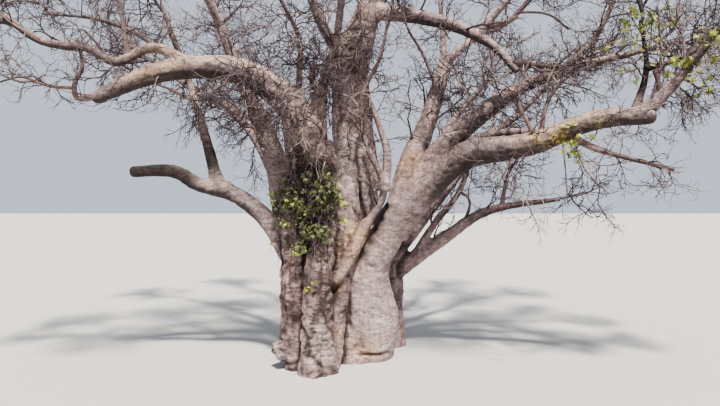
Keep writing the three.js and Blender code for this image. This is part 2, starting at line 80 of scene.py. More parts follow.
# A bough has its parent, the share of the parent's length where it starts, its bends and tip, its
# radius at root and tip, and the power of its taper.
BOUGHS = [
    ("bough_left_high", "left_outer", 0.95, [[-2.05, -2.1, 10.15], [-3.95, -2.5, 11.35],
     [-6.55, -3.1, 11.2], [-8.9, -3.55, 10.15]], [0.65, 0.215], 0.8),
    ("bough_left_far", "bough_left_high", 0.6, [[-7, -3.2, 12.05], [-8.15, -3.65, 11.4],
     [-8.99, -3.8, 11.85], [-9.9, -4.05, 11.9], [-10.6, -4.2, 12.05], [-11.55, -4.5, 12.75]],
     [0.23, 0.12], 1.25),
    ("bough_left_low", "left_outer", 0.44, [[-2.62, -1.4, 5.07], [-3.44, -1.2, 6.04],
     [-4.74, -1.4, 6.89], [-5.75, -1.65, 7.11], [-6.6, -1.8, 7.6], [-8.15, -2, 7.59]], [0.43, 0.225],
     1.1),
    ("bough_left_rising", "bough_left_low", 0.58, [[-5.32, -1.6, 8.39], [-5.8, -1.5, 10],
     [-6.2, -1.4, 11.26], [-7.25, -1.5, 14.2]], [0.25, 0.07], 1.25),
    ("bough_left_back", "back_left", 0.96, [[-3.15, 0.2, 8.65], [-4.4, -0.3, 11.7],
     [-5.45, -0.7, 14.5]], [0.56, 0.14], 0.9),
    ("bough_left_spray", "bough_left_far", 0.2, [[-7.9, -3, 12.75], [-9.2, -2.9, 13.2],
     [-11.3, -2.6, 13.5]], [0.095, 0.05], 1.25),
    ("bough_top_left", "middle", 0.985, [[-0.9, 0.4, 13.8], [-2.2, -0.1, 17]], [0.31, 0.15], 1.25),
    ("bough_front_top", "left_inner", 0.93, [[-0.9, -1.2, 10.9], [-0.35, -1.05, 13], [0.1, -2, 16.8]],
     [0.27, 0.12], 1.25),
    ("bough_leader", "middle", 0.97, [[0.7, 1, 14.1], [1.85, 0.8, 17], [2.5, 0, 21]], [0.74, 0.19], 1),
    ("bough_right_high", "bough_leader", 0.3, [[3.95, -0.4, 13.9], [5.9, -1.2, 12.7],
     [6.75, -1.6, 11.6]], [0.36, 0.16], 1),
    ("bough_right_high_fork", "bough_right_high", 0.68, [[6.3, -1.1, 13.5], [7.6, -1.4, 14.7]],
     [0.15, 0.08], 1.25),
    ("bough_right_upright", "right", 0.85, [[2.8, 0.25, 8.3], [3.45, 0.8, 9.65], [4.55, 1.9, 13]],
     [0.56, 0.29], 1),
    ("bough_upright_left", "bough_right_upright", 0.95, [[4.4, 2.2, 14.3], [4.3, 3, 17.2]],
     [0.16, 0.08], 1.25),
    ("bough_upright_right", "bough_right_upright", 0.97, [[5.55, 1.9, 13.7], [8.2, 2.3, 16.6]],
     [0.21, 0.1], 1.25),
    ("bough_right_low", "right", 0.78, [[3.25, -0.75, 6.95], [4.7, -1.2, 8.23], [7.1, -2.3, 8.62],
     [9.2, -3.2, 9.4], [10.8, -4, 9.45]], [0.7, 0.33], 1.1),
    ("bough_right_far", "bough_right_low", 0.97, [[11.4, -4.45, 10.5], [12.9, -5.2, 12.6]],
     [0.29, 0.085], 1.25),
    ("bough_right_middle", "right", 0.9, [[3.6, -0.35, 8.1], [4.95, -0.2, 9.5], [7.7, -0.2, 11.4],
     [12.4, -1, 12.65]], [0.6, 0.09], 1),
    ("bough_middle_up", "bough_right_middle", 0.73, [[10.25, -0.7, 13.2], [11.2, -0.8, 15.2]],
     [0.15, 0.08], 1.25),
    ("bough_low_up", "bough_right_low", 0.95, [[10.85, -3.6, 11.1], [10.8, -3.3, 13]], [0.15, 0.06],
     1.25),
    ("bough_right_bare", "bough_right_low", 0.73, [[9.25, -3, 8.4], [11.6, -4, 7.55]], [0.15, 0.065],
     1.25),
    ("bough_back_low", "back_right", 0.62, [[4.25, 1.4, 4.75], [6.1, 1, 6], [9.1, 0.3, 6.55]],
     [0.42, 0.08], 1),
    ("bough_back_rising", "bough_back_low", 0.16, [[3.95, 1.2, 5.55], [4.85, 0.65, 6.8],
     [5.4, 0.5, 8.3]], [0.21, 0.09], 1.25),
    ("bough_slender", "left_inner", 0.36, [[-0.1, -1.85, 3.7], [0.65, -1.35, 5.15], [1.55, -1.35, 6.9],
     [0.8, -1.2, 8.9], [0.7, -1.05, 10.7], [1.4, -1.15, 12.2], [1.7, -1.2, 13.6]], [0.23, 0.055], 1.25),
    ("bough_back_left", "middle", 0.6, [[-1, 3.7, 9.2], [-3, 6, 11.5], [-4.3, 8.4, 13.1],
     [-6.6, 10.2, 15.2]], [0.42, 0.12], 1),
    ("bough_back_far_left", "back_left", 0.88, [[-3.7, 2, 8.7], [-5.7, 3.6, 11], [-7.8, 5.3, 12.1],
     [-10.2, 6.3, 13.9]], [0.4, 0.11], 1),
    ("bough_back_right", "back_right", 0.9, [[3.2, 4.1, 7.4], [5.2, 6.5, 10], [6.2, 8.8, 11.5],
     [8.2, 10.5, 13.7]], [0.5, 0.12], 1),
    ("bough_back_far_right", "back_right", 0.8, [[4.5, 3.5, 6.8], [7, 4.8, 9.6], [8.9, 6.6, 11],
     [11.2, 7.5, 13.1]], [0.38, 0.11], 1),
    ("bough_top_back", "bough_leader", 0.42, [[1.5, 3.6, 17.8], [-0.2, 6.5, 19.6]], [0.25, 0.09], 1.25),
    ("bough_front_left", "bough_left_back", 0.9, [[-6.2, -3.3, 16], [-7.6, -6.6, 17]], [0.13, 0.07],
     1.25),
    ("bough_front_right", "bough_leader", 0.52, [[3.2, -2.6, 17.6], [4.8, -6.3, 18.4]], [0.26, 0.1],
     1.25),
    ("bough_right_crown", "bough_leader", 0.6, [[4.7, 2.5, 18.7], [7.6, 4.5, 19.8]], [0.24, 0.09],
     1.25),
]
# Smooth random fields. A lattice of random numbers is blended between its corners, and octaves of
# it are added for rougher ones.
LATTICE = np.random.default_rng(7).random(1 << 16)


def noise(points, scale=1.0, seed=0):
    """A value from -1 to 1 that changes over about scale metres: the eight lattice values round
    points / scale, blended by 3u^2 - 2u^3 along each axis."""
    place = np.asarray(points) / scale + 137.0 + 11.3 * seed
    cell = np.floor(place).astype(np.int64)
    share = place - cell
    share = share * share * (3 - 2 * share)
    total = np.zeros(len(place))
    for corner in range(8):
        step = np.array([corner & 1, corner >> 1 & 1, corner >> 2 & 1])
        i, j, k = (cell + step).T
        key = (i * 73856093 ^ j * 19349663 ^ k * 83492791 ^ seed * 2654435) & 0xFFFF
        weight = np.prod(np.where(step, share, 1 - share), axis=1)
        total += weight * LATTICE[key]
    return 2 * total - 1


def rough(points, scale, octaves=3, seed=0):
    """Octaves of noise, each half the size and half the strength of the one before."""
    return sum(noise(points, scale / 2**n, seed + n) / 2**n for n in range(octaves))


def ease(value, low, high):
    """0 below low, 1 above high, and 3t^2 - 2t^3 between them."""
    t = np.clip((value - low) / (high - low), 0, 1)
    return t * t * (3 - 2 * t)


def unit(v):
    """Each vector at length 1."""
    return v / np.maximum(np.linalg.norm(v, axis=-1, keepdims=True), 1e-9)


# The limbs' centre lines, worked out as the solids' are: a curve through the points, then a
# frame that turns as little as it can along the curve.
def curve_through(points, count):
    """count + 1 evenly spaced points of the centripetal Catmull-Rom curve through points."""
    p = np.asarray(points, float)
    p = np.vstack([2 * p[0] - p[1], p, 2 * p[-1] - p[-2]])
    t = np.linspace(0, 1, 60, endpoint=False)[:, None]
    dense = []
    for a, b, c, d in zip(p[:-3], p[1:-2], p[2:-1], p[3:]):
        da, db, dc = (np.linalg.norm(q) ** 0.5 for q in (b - a, c - b, d - c))
        slope_b = ((b - a) / da - (c - a) / (da + db) + (c - b) / db) * db
        slope_c = ((c - b) / db - (d - b) / (db + dc) + (d - c) / dc) * db
        dense.append(b + slope_b * t + (3 * (c - b) - 2 * slope_b - slope_c) * t**2
                     + (2 * (b - c) + slope_b + slope_c) * t**3)
    dense = np.vstack(dense + [p[-2:-1]])
    run = np.concatenate([[0], np.cumsum(np.linalg.norm(np.diff(dense, axis=0), axis=1))])
    wanted = np.linspace(0, run[-1], count + 1)
    return np.stack([np.interp(wanted, run, dense[:, k]) for k in range(3)], axis=1)


def frames_along(points):
    """Tangent, normal and binormal at each point. The normal is carried along and kept square."""
    tangent = unit(np.gradient(points, axis=0))
    side = np.eye(3)[np.argmin(np.abs(tangent[0]))]
    normals = []
    for t in tangent:
        side = side - np.dot(side, t) * t
        side = side / np.linalg.norm(side)
        normals.append(side)
    normal = np.array(normals)
    return tangent, normal, np.cross(tangent, normal)


STEP_ALONG = 0.12
STEM_TAPER = 1.25


class Limb:
    """A tapering limb: its points about 0.12 m apart, its frames, and its radius at each point. The
    radius falls by the taper's power, and a flare fades with height as a belly does both ways."""

    def __init__(self, points, radius, taper, flare=0, belly=0, folds=0, rugged=0.35):
        self.folds, self.rugged = folds, rugged
        first = curve_through(points, 50)
        self.length = float(np.linalg.norm(np.diff(first, axis=0), axis=1).sum())
        self.points = curve_through(points, max(12, int(self.length / STEP_ALONG)))
        self.share = np.linspace(0, 1, len(self.points))
        self.radius = radius[1] + (radius[0] - radius[1]) * (1 - self.share) ** taper
        height = np.clip(self.points[:, 2], 0, None)
        self.radius = self.radius * (1 + flare * np.exp(-height / 0.9)
                                     + belly * np.exp(-(((height - 1.7) / 1.0) ** 2)))
        self.tangent, self.normal, self.binormal = frames_along(self.points)

    def at(self, share):
        """The point at a share of the length."""
        return np.array([np.interp(share, self.share, self.points[:, k]) for k in range(3)])


limbs = {}
for name, points, radius, *shape in STEMS:
    limbs[name] = Limb(points, radius, STEM_TAPER, *shape)
for name, parent, share, points, radius, taper in BOUGHS:
    limbs[name] = Limb(np.vstack([limbs[parent].at(share), points]), radius, taper)
stem_names = [s[0] for s in STEMS]
bough_names = [b[0] for b in BOUGHS]

# Knobs, lumps and pits, each with its place, its reach and its push. Random ones stand on every limb
# but the core, and crowd on the two burls. The listed ones are the roots' toes between the stems,
# the scar on the middle stem, and swellings.
KNOBS_PER_STEM, KNOBS_PER_BOUGH, LUMPS_PER_BURL = 14, 9, 22
BURLS = [((-2.38, -1.98, 0.7), 0.4), ((1.02, -0.98, 4.1), 0.2)]
knobs = []
for name in stem_names[:-1] + bough_names:
    limb = limbs[name]
    for _ in range(KNOBS_PER_STEM if name in stem_names else KNOBS_PER_BOUGH):
        i = int(rng.integers(len(limb.points) // 12, int(len(limb.points) * 0.9)))
        turn = rng.uniform(0, 2 * math.pi)
        out = math.cos(turn) * limb.normal[i] + math.sin(turn) * limb.binormal[i]
        knobs.append((limb.points[i] + out * limb.radius[i], limb.radius[i] * rng.uniform(0.12, 0.34),
                      limb.radius[i] * rng.choice([-0.05, 0.08, 0.13], p=[0.4, 0.4, 0.2])))
for centre, size in BURLS:
    for _ in range(LUMPS_PER_BURL):
        knobs.append((np.array(centre) + unit(rng.normal(size=3)) * size,
                      size * rng.uniform(0.22, 0.42), size * rng.choice([-0.16, 0.20, 0.30])))
knobs += [
    ((-2.05, -2.45, 0.35), 0.3, 0.12), ((-0.35, -2.75, 0.3), 0.3, 0.12),
    ((0.15, -1.6, 0.35), 0.22, 0.16), ((0.45, -1.4, 0.25), 0.16, 0.12),
    ((0.7, -1.35, 0.18), 0.15, 0.1), ((-0.05, -1.75, 0.55), 0.16, 0.12),
    ((-1.9, -2.4, 4.6), 0.25, 0.09), ((1.9, -1, 2.9), 0.22, 0.06), ((0.1, 0.05, 7.6), 0.5, 0.16),
    ((-0.9, -2.95, 1.5), 0.26, 0.09), ((-4.9, -1.4, 7), 0.55, 0.1), ((-8.1, -3.5, 10.7), 0.32, 0.09),
]
FOLD_DEPTH = 0.030
VALLEY_DEPTH = 0.050
BUMP_HEIGHT = 0.085


def relief(points, along, angle, radius, sure, rugged):
    """The push at each point, and from 0 to 1 how much painted shade its creases get. along and angle
    are the place on the nearest limb, sure is 0 where two limbs meet, and rugged is 1 on the roughest
    bark.
    The push adds smooth lumps, sharp valleys where a noise crosses zero, bumps by a noise's absolute
    value, fine grain, long folds by the cosine of the angle, rings that crease at each whole turn
    of the length, and the knobs, each by exp(-1.4 d^2) of its distance over its reach."""
    size = np.clip(radius / 0.7, 0.08, 1)
    lumps = (0.030 + 0.045 * rugged) * size * rough(points, 1.2, 2, 3)
    tall = points * [1, 1, 0.55]
    valley = np.exp(-((rough(tall, 0.62, 2, 17) / 0.16) ** 2))
    valley *= ease(noise(points, 1.9, 19) + 1.1 * rugged, 0.45, 1.0)
    grain_field = rough(points * [1, 1, 1.8], 0.24, 3, 5)
    grain = (0.013 + 0.013 * rugged) * np.clip(radius / 0.35, 0.25, 1) * grain_field
    wander = noise(points, 1.6, 9)
    folds = np.cos(5 * angle + 2.2 * wander) + 0.6 * np.cos(9 * angle - 1.7 * along / 3 + 3 * wander)
    folds = FOLD_DEPTH * size * folds * sure * (0.25 + 0.75 * rugged)
    step = 0.10 + 0.16 * np.clip(radius, 0, 0.8)
    ring = along / step + 1.5 * noise(points, 0.8, 11) + 0.4 * np.sin(angle + 4 * wander)
    crest = 1 - np.abs(np.sin(math.pi * ring)) ** 0.5
    where = ease(noise(points, 1.1, 13), -0.05, 0.65)
    where *= 0.35 + 0.65 * ease(points[:, 2], 0.4, 1.4)
    rings = -(0.020 + 0.010 * rugged) * size * crest * where * sure
    # The right stem has a ledge low down, over a crack that runs round its front.
    front = np.exp(-((points[:, 0] - 1.05) / 0.75) ** 2) * ease(-points[:, 1], 0.6, 1.1)
    height = points[:, 2] - 0.36 - 0.07 * noise(points, 0.35, 31)
    ledge = np.exp(-((height / 0.045) ** 2)) * front
    rings += front * (0.07 * np.exp(-(((height - 0.12) / 0.10) ** 2)) - 0.10 * ledge)
    bumps = np.abs(rough(points * [1, 1, 0.8], 0.36, 2, 23))
    push = lumps - VALLEY_DEPTH * size * rugged * valley + grain + folds + rings
    push += BUMP_HEIGHT * size * rugged * (bumps - 0.22)
    for spot, reach_of_knob, height in knobs:
        near = np.sum((points - spot) ** 2, axis=1) / reach_of_knob**2
        close = near < 9
        push[close] += height * np.exp(-1.4 * near[close])
    # Painted shade: how dark the colour is made in the creases, valleys, hollows between bumps, grain,
    # folds and the crack under the ledge.
    crease_shade = (crest * where * sure * (0.25 + 0.4 * rugged) + valley * rugged * 0.8
              + ease(-bumps, -0.10, 0.0) * rugged * 0.35
              + ease(-grain_field, 0.35, 1.1) * (0.25 + 0.5 * rugged)
              + ease(-folds / (FOLD_DEPTH * size), 0.6, 1.5) * 0.3 * rugged + ledge)
    return push, np.clip(crease_shade, 0, 1)


def ring_quads(sides, rows):
    """Four-sided faces between the rings of a closed round form."""
    a = np.arange((rows - 1) * sides).reshape(-1, sides)
    b = np.roll(a, -1, axis=1)
    return np.stack([a, b, b + sides, a + sides], axis=-1).reshape(-1, 4)


def tube(limb, radius, sides, first=0, last=None, step=1, dome=False):
    """A tube along a limb from one of its points to another, folded where the limb is. A dome adds
    rings 0.6 r sin t beyond the last point, of radius r cos t. Also gives the point of each ring."""
    picks = np.arange(first, last or len(limb.points), step)
    turn = np.array([0.45, 0.85, 1.2, 1.45] if dome else [])
    beyond = np.concatenate([0 * picks, 0.6 * radius[picks[-1]] * np.sin(turn)])
    shrink = np.concatenate([0 * picks + 1, np.cos(turn)])
    picks = np.append(picks, np.full(len(turn), picks[-1]))
    angle = np.linspace(0, 2 * math.pi, sides, endpoint=False)
    fold = 1 + 0.07 * np.cos(limb.folds * angle) * (limb.folds > 0)
    reach = (radius[picks] * shrink)[:, None] * fold
    verts = ((limb.points[picks] + beyond[:, None] * limb.tangent[picks])[:, None]
             + (reach * np.cos(angle))[..., None] * limb.normal[picks][:, None]
             + (reach * np.sin(angle))[..., None] * limb.binormal[picks][:, None])
    return verts.reshape(-1, 3), ring_quads(sides, len(picks)), picks


def end_caps(sides, rows):
    """Fans of triangles that close a tube's first and last ring."""
    fan = np.arange(1, sides - 1)
    low = np.stack([np.zeros_like(fan), fan + 1, fan], axis=1)
    high = np.stack([np.zeros_like(fan), fan, fan + 1], axis=1) + (rows - 1) * sides
    return np.vstack([low, high])


def make_mesh(name, verts, quads=None, tris=None, smooth=True):
    """A mesh object at the origin from arrays of corners, four-sided faces and triangles."""
    quads = np.zeros((0, 4), int) if quads is None else np.asarray(quads)
    tris = np.zeros((0, 3), int) if tris is None else np.asarray(tris)
    mesh = bpy.data.meshes.new(name)
    mesh.vertices.add(len(verts))
    mesh.vertices.foreach_set("co", np.asarray(verts, np.float32).ravel())
    corners = np.concatenate([quads.ravel(), tris.ravel()])
    mesh.loops.add(len(corners))
    mesh.loops.foreach_set("vertex_index", corners.astype(np.int32))
    starts = np.concatenate([np.arange(len(quads)) * 4, 4 * len(quads) + np.arange(len(tris)) * 3])
    mesh.polygons.add(len(starts))
    mesh.polygons.foreach_set("loop_start", starts.astype(np.int32))
    if smooth:
        mesh.polygons.foreach_set("use_smooth", np.ones(len(starts), bool))
    mesh.update(calc_edges=True)
    made = bpy.data.objects.new(name, mesh)
    bpy.context.scene.collection.objects.link(made)
    return made


def set_value(thing, name, values):
    """A number at each corner of a mesh, for the materials to read."""
    layer = thing.data.attributes.new(name, "FLOAT", "POINT")
    layer.data.foreach_set("value", np.asarray(values, np.float32))


class Bundle:
    """Closed forms that are gathered into one mesh."""

    def __init__(self):
        self.verts, self.quads, self.tris, self.count = [], [], [], 0

    def add(self, verts, quads, tris):
        """One more form, its faces counted on from the corners so far."""
        self.verts.append(verts)
        self.quads.append(quads + self.count)
        self.tris.append(tris + self.count)
        self.count += len(verts)

    def mesh(self, name):
        """The mesh object of all the forms."""
        return make_mesh(name, np.vstack(self.verts), np.vstack(self.quads), np.vstack(self.tris))


# Tubes along the stems and the thick parts of the boughs, each bough wider at its root. A bough is
# thick as far as its radius is over THICK, and one with fewer than FEWEST such points is left out.
THICK = 0.15
FEWEST = 12
SKIN_SIDES = 28
fused = Bundle()
ends = {}
for name, limb in limbs.items():
    is_bough = name in bough_names
    last = int((limb.radius > THICK).sum()) if is_bough else len(limb.points)
    if last < FEWEST:
        ends[name] = 0
        continue
    ends[name] = last
    swell = limb.radius
    if is_bough:
        swell = swell * (1 + 0.22 * np.exp(-limb.share * limb.length / (1.6 * limb.radius[0])))
    blunt = is_bough and limb.radius[-1] > THICK
    verts, quads, picks = tube(limb, swell, SKIN_SIDES, 0, last, 2, blunt)
    fused.add(verts, quads, end_caps(SKIN_SIDES, len(picks)))
# Balls along lines from one place to another, with the radius at each, fill what has grown together:
# the ridge with the stems behind it, and the bases of the two great boughs with their stems.
FILLS = [
    ((-0.4, -1.45, 2.3), (-0.1, -1.42, 3.9), 0.5, 0.46, 7),
    ((-0.1, -1.42, 3.9), (0.6, -1.08, 5.15), 0.46, 0.34, 7),
    ((0.6, -1.08, 5.15), (0.86, -1.16, 5.6), 0.34, 0.22, 4),
    ((0.58, -0.42, 0.3), (0.58, -0.45, 3.4), 0.84, 0.76, 8),
    ((0.58, -0.45, 3.4), (0.95, -0.4, 4.8), 0.76, 0.62, 5),
    ((1.15, -0.45, 4), (2.2, -0.62, 6), 0.66, 0.66, 7),
    ((-1.48, -1.8, 9), (-1.62, -1.72, 6.4), 0.82, 0.66, 14),
    ((-1.22, -1.72, 8.5), (-0.7, -1.35, 6.6), 0.62, 0.5, 9),
    ((0.03, 0.12, 7.1), (0.12, 0.62, 10.2), 0.62, 0.36, 14),
]
balls = list(BURLS)
for low_end, high_end, low_size, high_size, count in FILLS:
    for share in np.linspace(0, 1, count):
        balls.append((np.array(low_end) * (1 - share) + np.array(high_end) * share,
                      low_size * (1 - share) + high_size * share))
# A ball has ROWS rings of ROUND points, and its faces run the other way from a tube's.
ROWS, ROUND = 10, 18
up, turn = np.meshgrid(np.linspace(0.25, math.pi - 0.25, ROWS), np.arange(ROUND) * math.pi / 9,
                       indexing="ij")
ball = np.stack([np.sin(up) * np.cos(turn), np.sin(up) * np.sin(turn), np.cos(up)], axis=-1)
for centre, size in balls:
    fused.add(ball.reshape(-1, 3) * size + np.array(centre), ring_quads(ROUND, ROWS)[:, [0, 3, 2, 1]],
              end_caps(ROUND, ROWS)[:, [0, 2, 1]])

# One skin over them all, smoothed so that each bough flows out of its parent.
rough_cut = fused.mesh("rough_cut")
remesh = rough_cut.modifiers.new("skin", "REMESH")
remesh.mode = "VOXEL"
remesh.voxel_size = 0.06
relax = rough_cut.modifiers.new("relax", "SMOOTH")
relax.factor = 0.5
relax.iterations = 9
skin = rough_cut.evaluated_get(bpy.context.evaluated_depsgraph_get()).to_mesh()


def read_mesh(items, field, width, kind):
    """One field of a mesh's corners, as an array with width numbers to a row."""
    values = np.empty(len(items) * width, kind)
    items.foreach_get(field, values)
    return values.reshape(-1, width)


skin_verts = read_mesh(skin.vertices, "co", 3, np.float32).astype(float)
skin_normals = read_mesh(skin.vertices, "normal", 3, np.float32).astype(float)
skin_quads = read_mesh(skin.loops, "vertex_index", 1, np.int32).reshape(-1, 4)
bpy.data.objects.remove(rough_cut)

# Each corner of the skin finds the limb it lies on: the one whose centre line, less its radius, is
# nearest. The gap to the next limb fades out what follows a limb's own direction.
line_points = np.vstack([limbs[n].points for n in ends])
line_radius = np.concatenate([limbs[n].radius for n in ends])
line_along = np.concatenate([limbs[n].share * limbs[n].length for n in ends])
line_normal = np.vstack([limbs[n].normal for n in ends])
line_binormal = np.vstack([limbs[n].binormal for n in ends])
line_starts = np.cumsum([0] + [len(limbs[n].points) for n in ends])[:-1]
line_limb = np.repeat(np.arange(len(ends)), [len(limbs[n].points) for n in ends])
line_kind = np.array([[n in stem_names, limbs[n].rugged] for n in ends], float)
LOT = 8000


def squares_between(points, others):
    """The squared distance from each point to each other: p.p + q.q - 2 p.q."""
    return np.sum(points**2, axis=1)[:, None] + np.sum(others**2, axis=1) - 2 * points @ others.T


def place_on_limbs(points):
    """For each point: distance along the nearest limb, angle round it, its radius, how sure it is
    that this limb is the nearest, whether it is a stem, and how rugged its bark is."""
    out = np.zeros((6, len(points)))
    for low in range(0, len(points), LOT):
        p = points[low:low + LOT]
        far = np.sqrt(np.maximum(squares_between(p, line_points), 0)) - line_radius
        best = np.argmin(far, axis=1)
        by_limb = np.minimum.reduceat(far, line_starts, axis=1)
        by_limb.sort(axis=1)
        offset = p - line_points[best]
        out[:, low:low + LOT] = [
            line_along[best],
            np.arctan2(np.sum(offset * line_binormal[best], axis=1),
                       np.sum(offset * line_normal[best], axis=1)),
            line_radius[best], ease(by_limb[:, 1] - by_limb[:, 0], 0.02, 0.35),
            *line_kind[line_limb[best]].T]
    return out


def corner_normals(verts, quads):
    """The normal at each corner: the sum of its faces' normals, larger faces counting for more."""
    a, b, c, d = (verts[quads[:, k]] for k in range(4))
    face = np.cross(c - a, d - b)
    total = np.stack([np.bincount(quads.ravel(), np.repeat(face[:, k], 4), len(verts))
                      for k in range(3)], axis=1)
    return unit(total)


# Where stems and boughs meet, the share of stem and the ruggedness are evened out from face to face.
EVENINGS = 16
along, angle, radius, sure, stem, rugged = place_on_limbs(skin_verts)
for _ in range(EVENINGS):
    rugged, stem = (np.bincount(skin_quads.ravel(), np.repeat(v[skin_quads].mean(axis=1), 4))
                    / np.bincount(skin_quads.ravel()) for v in (rugged, stem))
push, skin_crease_shade = relief(skin_verts, along, angle, radius, sure, rugged)
# Where two stems meet there is a cleft, pushed in and darkened with painted shade. The right stem is whole
# across its front, up to the crack beside the ridge, and the clefts end where the boughs leave.
x, y, z = skin_verts.T
meeting = ease(1 - sure, 0.45, 1.0) * stem
meeting *= 1 - (ease(x, 0.15, 0.35) * ease(-x, -1.9, -1.5) * ease(-y, 0.3, 0.6)
                * ease(-z, -4.6, -3.8))
meeting *= 1 - (ease(x, 0.7, 1.0) * ease(-y, 0.0, 0.4) * ease(z, 3.8, 4.6)) * 0.85
meeting *= ease(-z, -8.0, -6.8)
skin_crease_shade = np.clip(skin_crease_shade + 0.95 * meeting, 0, 1)
push = push - 0.09 * meeting
skin_verts = skin_verts + skin_normals * push[:, None]
# The cut at the ground. Its edge is what has a face on one side only and lies on the ground.
ON_GROUND = 0.01
skin_quads = skin_quads[(skin_verts[skin_quads, 2] > 0.0).any(axis=1)]
skin_verts[:, 2] = np.maximum(skin_verts[:, 2], 0.0)
skin_normals = corner_normals(skin_verts, skin_quads)
edges = np.concatenate([skin_quads[:, [k, (k + 1) % 4]] for k in range(4)]).astype(np.int64)
there, back = (edges[:, k] * len(skin_verts) + edges[:, 1 - k] for k in (0, 1))
rim = edges[~np.isin(there, back)]
rim = rim[skin_verts[rim[:, 0], 2] < ON_GROUND]

# The bark's finish. Places with yellow lichen, with smooth tan bark, with pale bark and painted light, and
# with painted shadow, and how far each goes.
PLACES = {
    "lichen": [
        ((7.9, -2.9, 8.8), 0.4), ((9.2, -3.5, 9.5), 0.3), ((7.2, -2.7, 8.8), 0.25),
        ((-3.6, -2.9, 11.6), 0.25), ((-2, -2.7, 6.6), 0.25)],
    "tan": [
        ((0.1, -1.6, 4.6), 0.75), ((-0.35, -1.9, 3.2), 0.45), ((2.6, -0.3, 8), 0.8),
        ((0.7, -1.2, 5.2), 0.5), ((0.4, -1.5, 0.6), 0.5), ((1, -1.3, 0.5), 0.35),
        ((-0.4, -1.9, 1.4), 0.4), ((-6.9, -3.3, 11.2), 1), ((8.3, -2.9, 9.1), 0.6),
        ((9.9, -3.5, 9.8), 0.5), ((7, -2.4, 8.9), 0.5)],
    # Pale bark at the stems' feet and on the right boughs, and painted light on the middle stem, the
    # rising left limb and the back left limb.
    "pale_bark_and_painted_light": [
        ((-1, -3.1, 1.1), 0.9), ((-2.6, -2.2, 0.7), 0.45), ((0.2, -1.7, 0.3), 0.4),
        ((1.1, -1.3, 1.6), 1), ((0.3, -0.1, 7.4), 0.9), ((9.6, -3.6, 9.9), 0.9),
        ((-3.9, -1.4, 6.6), 0.8), ((0.3, -0.2, 9.2), 0.8), ((-3.1, 0, 8.9), 0.9),
        ((-5.7, -1.5, 9.7), 0.9), ((10.3, -3.5, 8), 0.9), ((11.3, -3.9, 7.65), 0.8)],
    # Painted shadow: darkened as if shaded, in the hollows between the left stems, along the crack beside
    # the ridge, at the end of the low left bough, round the tip of the low right bough and under the high
    # right bough.
    "painted_shadow": [
        ((-2.45, -1.8, 6.4), 0.45), ((-1.2, -2.6, 4.5), 0.4), ((-1.8, -2.4, 2), 0.38),
        ((-0.42, -1.9, 2.9), 0.35), ((-2, -2, 7.1), 0.5), ((-0.7, -2.2, 7.7), 0.45),
        ((-2.2, -2.4, 4), 0.25), ((0.1, -1.7, 2.2), 0.25), ((-1.3, -2.6, 5.8), 0.5),
        ((-5.2, -1.7, 8), 0.6), ((-5.4, -1.7, 8.6), 0.5), ((-8.1, -2.1, 7.5), 1.15),
        ((-7, -1.95, 7.4), 0.75), ((-6.2, -1.8, 7.2), 0.55), ((-2.3, -2.2, 1.5), 0.22),
        ((-1.5, -2.5, 3.6), 0.4), ((-0.4, -2.2, 3.9), 0.25), ((-0.42, -2.3, 3.2), 0.25),
        ((0.12, -1.6, 3.5), 0.22), ((0.42, -1.3, 3.95), 0.24), ((0.72, -1.05, 4.35), 0.24),
        ((1, -1, 4.85), 0.26), ((1.28, -0.95, 5.3), 0.24), ((1.5, -0.95, 5.75), 0.22),
        ((1.72, -0.95, 6.25), 0.18), ((10.75, -3.7, 10.4), 0.45), ((10.85, -3.6, 11.2), 0.65),
        ((10.85, -3.4, 12.2), 0.75), ((11.9, -4.7, 11), 0.45), ((-1.7, -2.4, 7.7), 0.55),
        ((-1, -2.2, 7.4), 0.45), ((-1.7, -2.4, 6.9), 0.5), ((-1, -2.3, 6.8), 0.45),
        ((-1.6, -2.3, 6.1), 0.4), ((-1, -2.4, 6), 0.35), ((-0.6, -2.2, 6.9), 0.3),
        ((-1.7, -2.6, 8.3), 0.35), ((-1, -2.4, 5.4), 0.3), ((2.8, -0.1, 13.4), 0.5),
        ((4.2, -0.7, 13), 0.45), ((5.3, -1.1, 12.3), 0.4), ((2.3, -1.95, 5.9), 0.7)],
}


def bark_values(piece, points, normals, crease_shade, along, sure, stem, rugged, radius):
    """What the bark's material reads: painted shade in the creases, the place along the limb, how clear it
    is which limb that is, how rugged it is, how thin the limb is, painted light on top of the boughs,
    painted shade below them, and the listed places."""
    # Painted light: the upper faces of the high boughs are lightened towards cream, more on the left, as
    # if lit from above.
    high = ease(points[:, 2], 5.5, 8.5) * (1 - stem)
    left = ease(-points[:, 0], -1.0, 1.5)
    painted_top_light = ease(normals[:, 2], -0.15, 0.8) * high * (0.32 + 0.42 * left)
    for name, spots in PLACES.items():
        near = sum(np.exp(-np.sum((points - np.array(spot)) ** 2, axis=1) / size**2)
                   for spot, size in spots)
        set_value(piece, name, np.minimum(near, 1))
    thin = 0.6 * ease(-radius, -0.18, -0.07) * (1 - stem)
    right = ease(points[:, 0], 2.0, 4.5)
    # Painted shade: the undersides of the boughs are darkened, from a metre or two along them, and more so
    # on the right.
    shade = ease(-normals[:, 2], -0.2 - 0.2 * right, 0.62 - 0.15 * right) * (1 - stem)
    shade *= ease(points[:, 2], 4.4, 6.2) * ease(along, 0.9, 2.6)
    for name, values in (("crease_shade", crease_shade), ("along", along), ("sure", sure), ("rugged", rugged),
                         ("painted_top_light", painted_top_light * (1 - 0.7 * thin)), ("thin", thin), ("shade", shade)):
        set_value(piece, name, values)


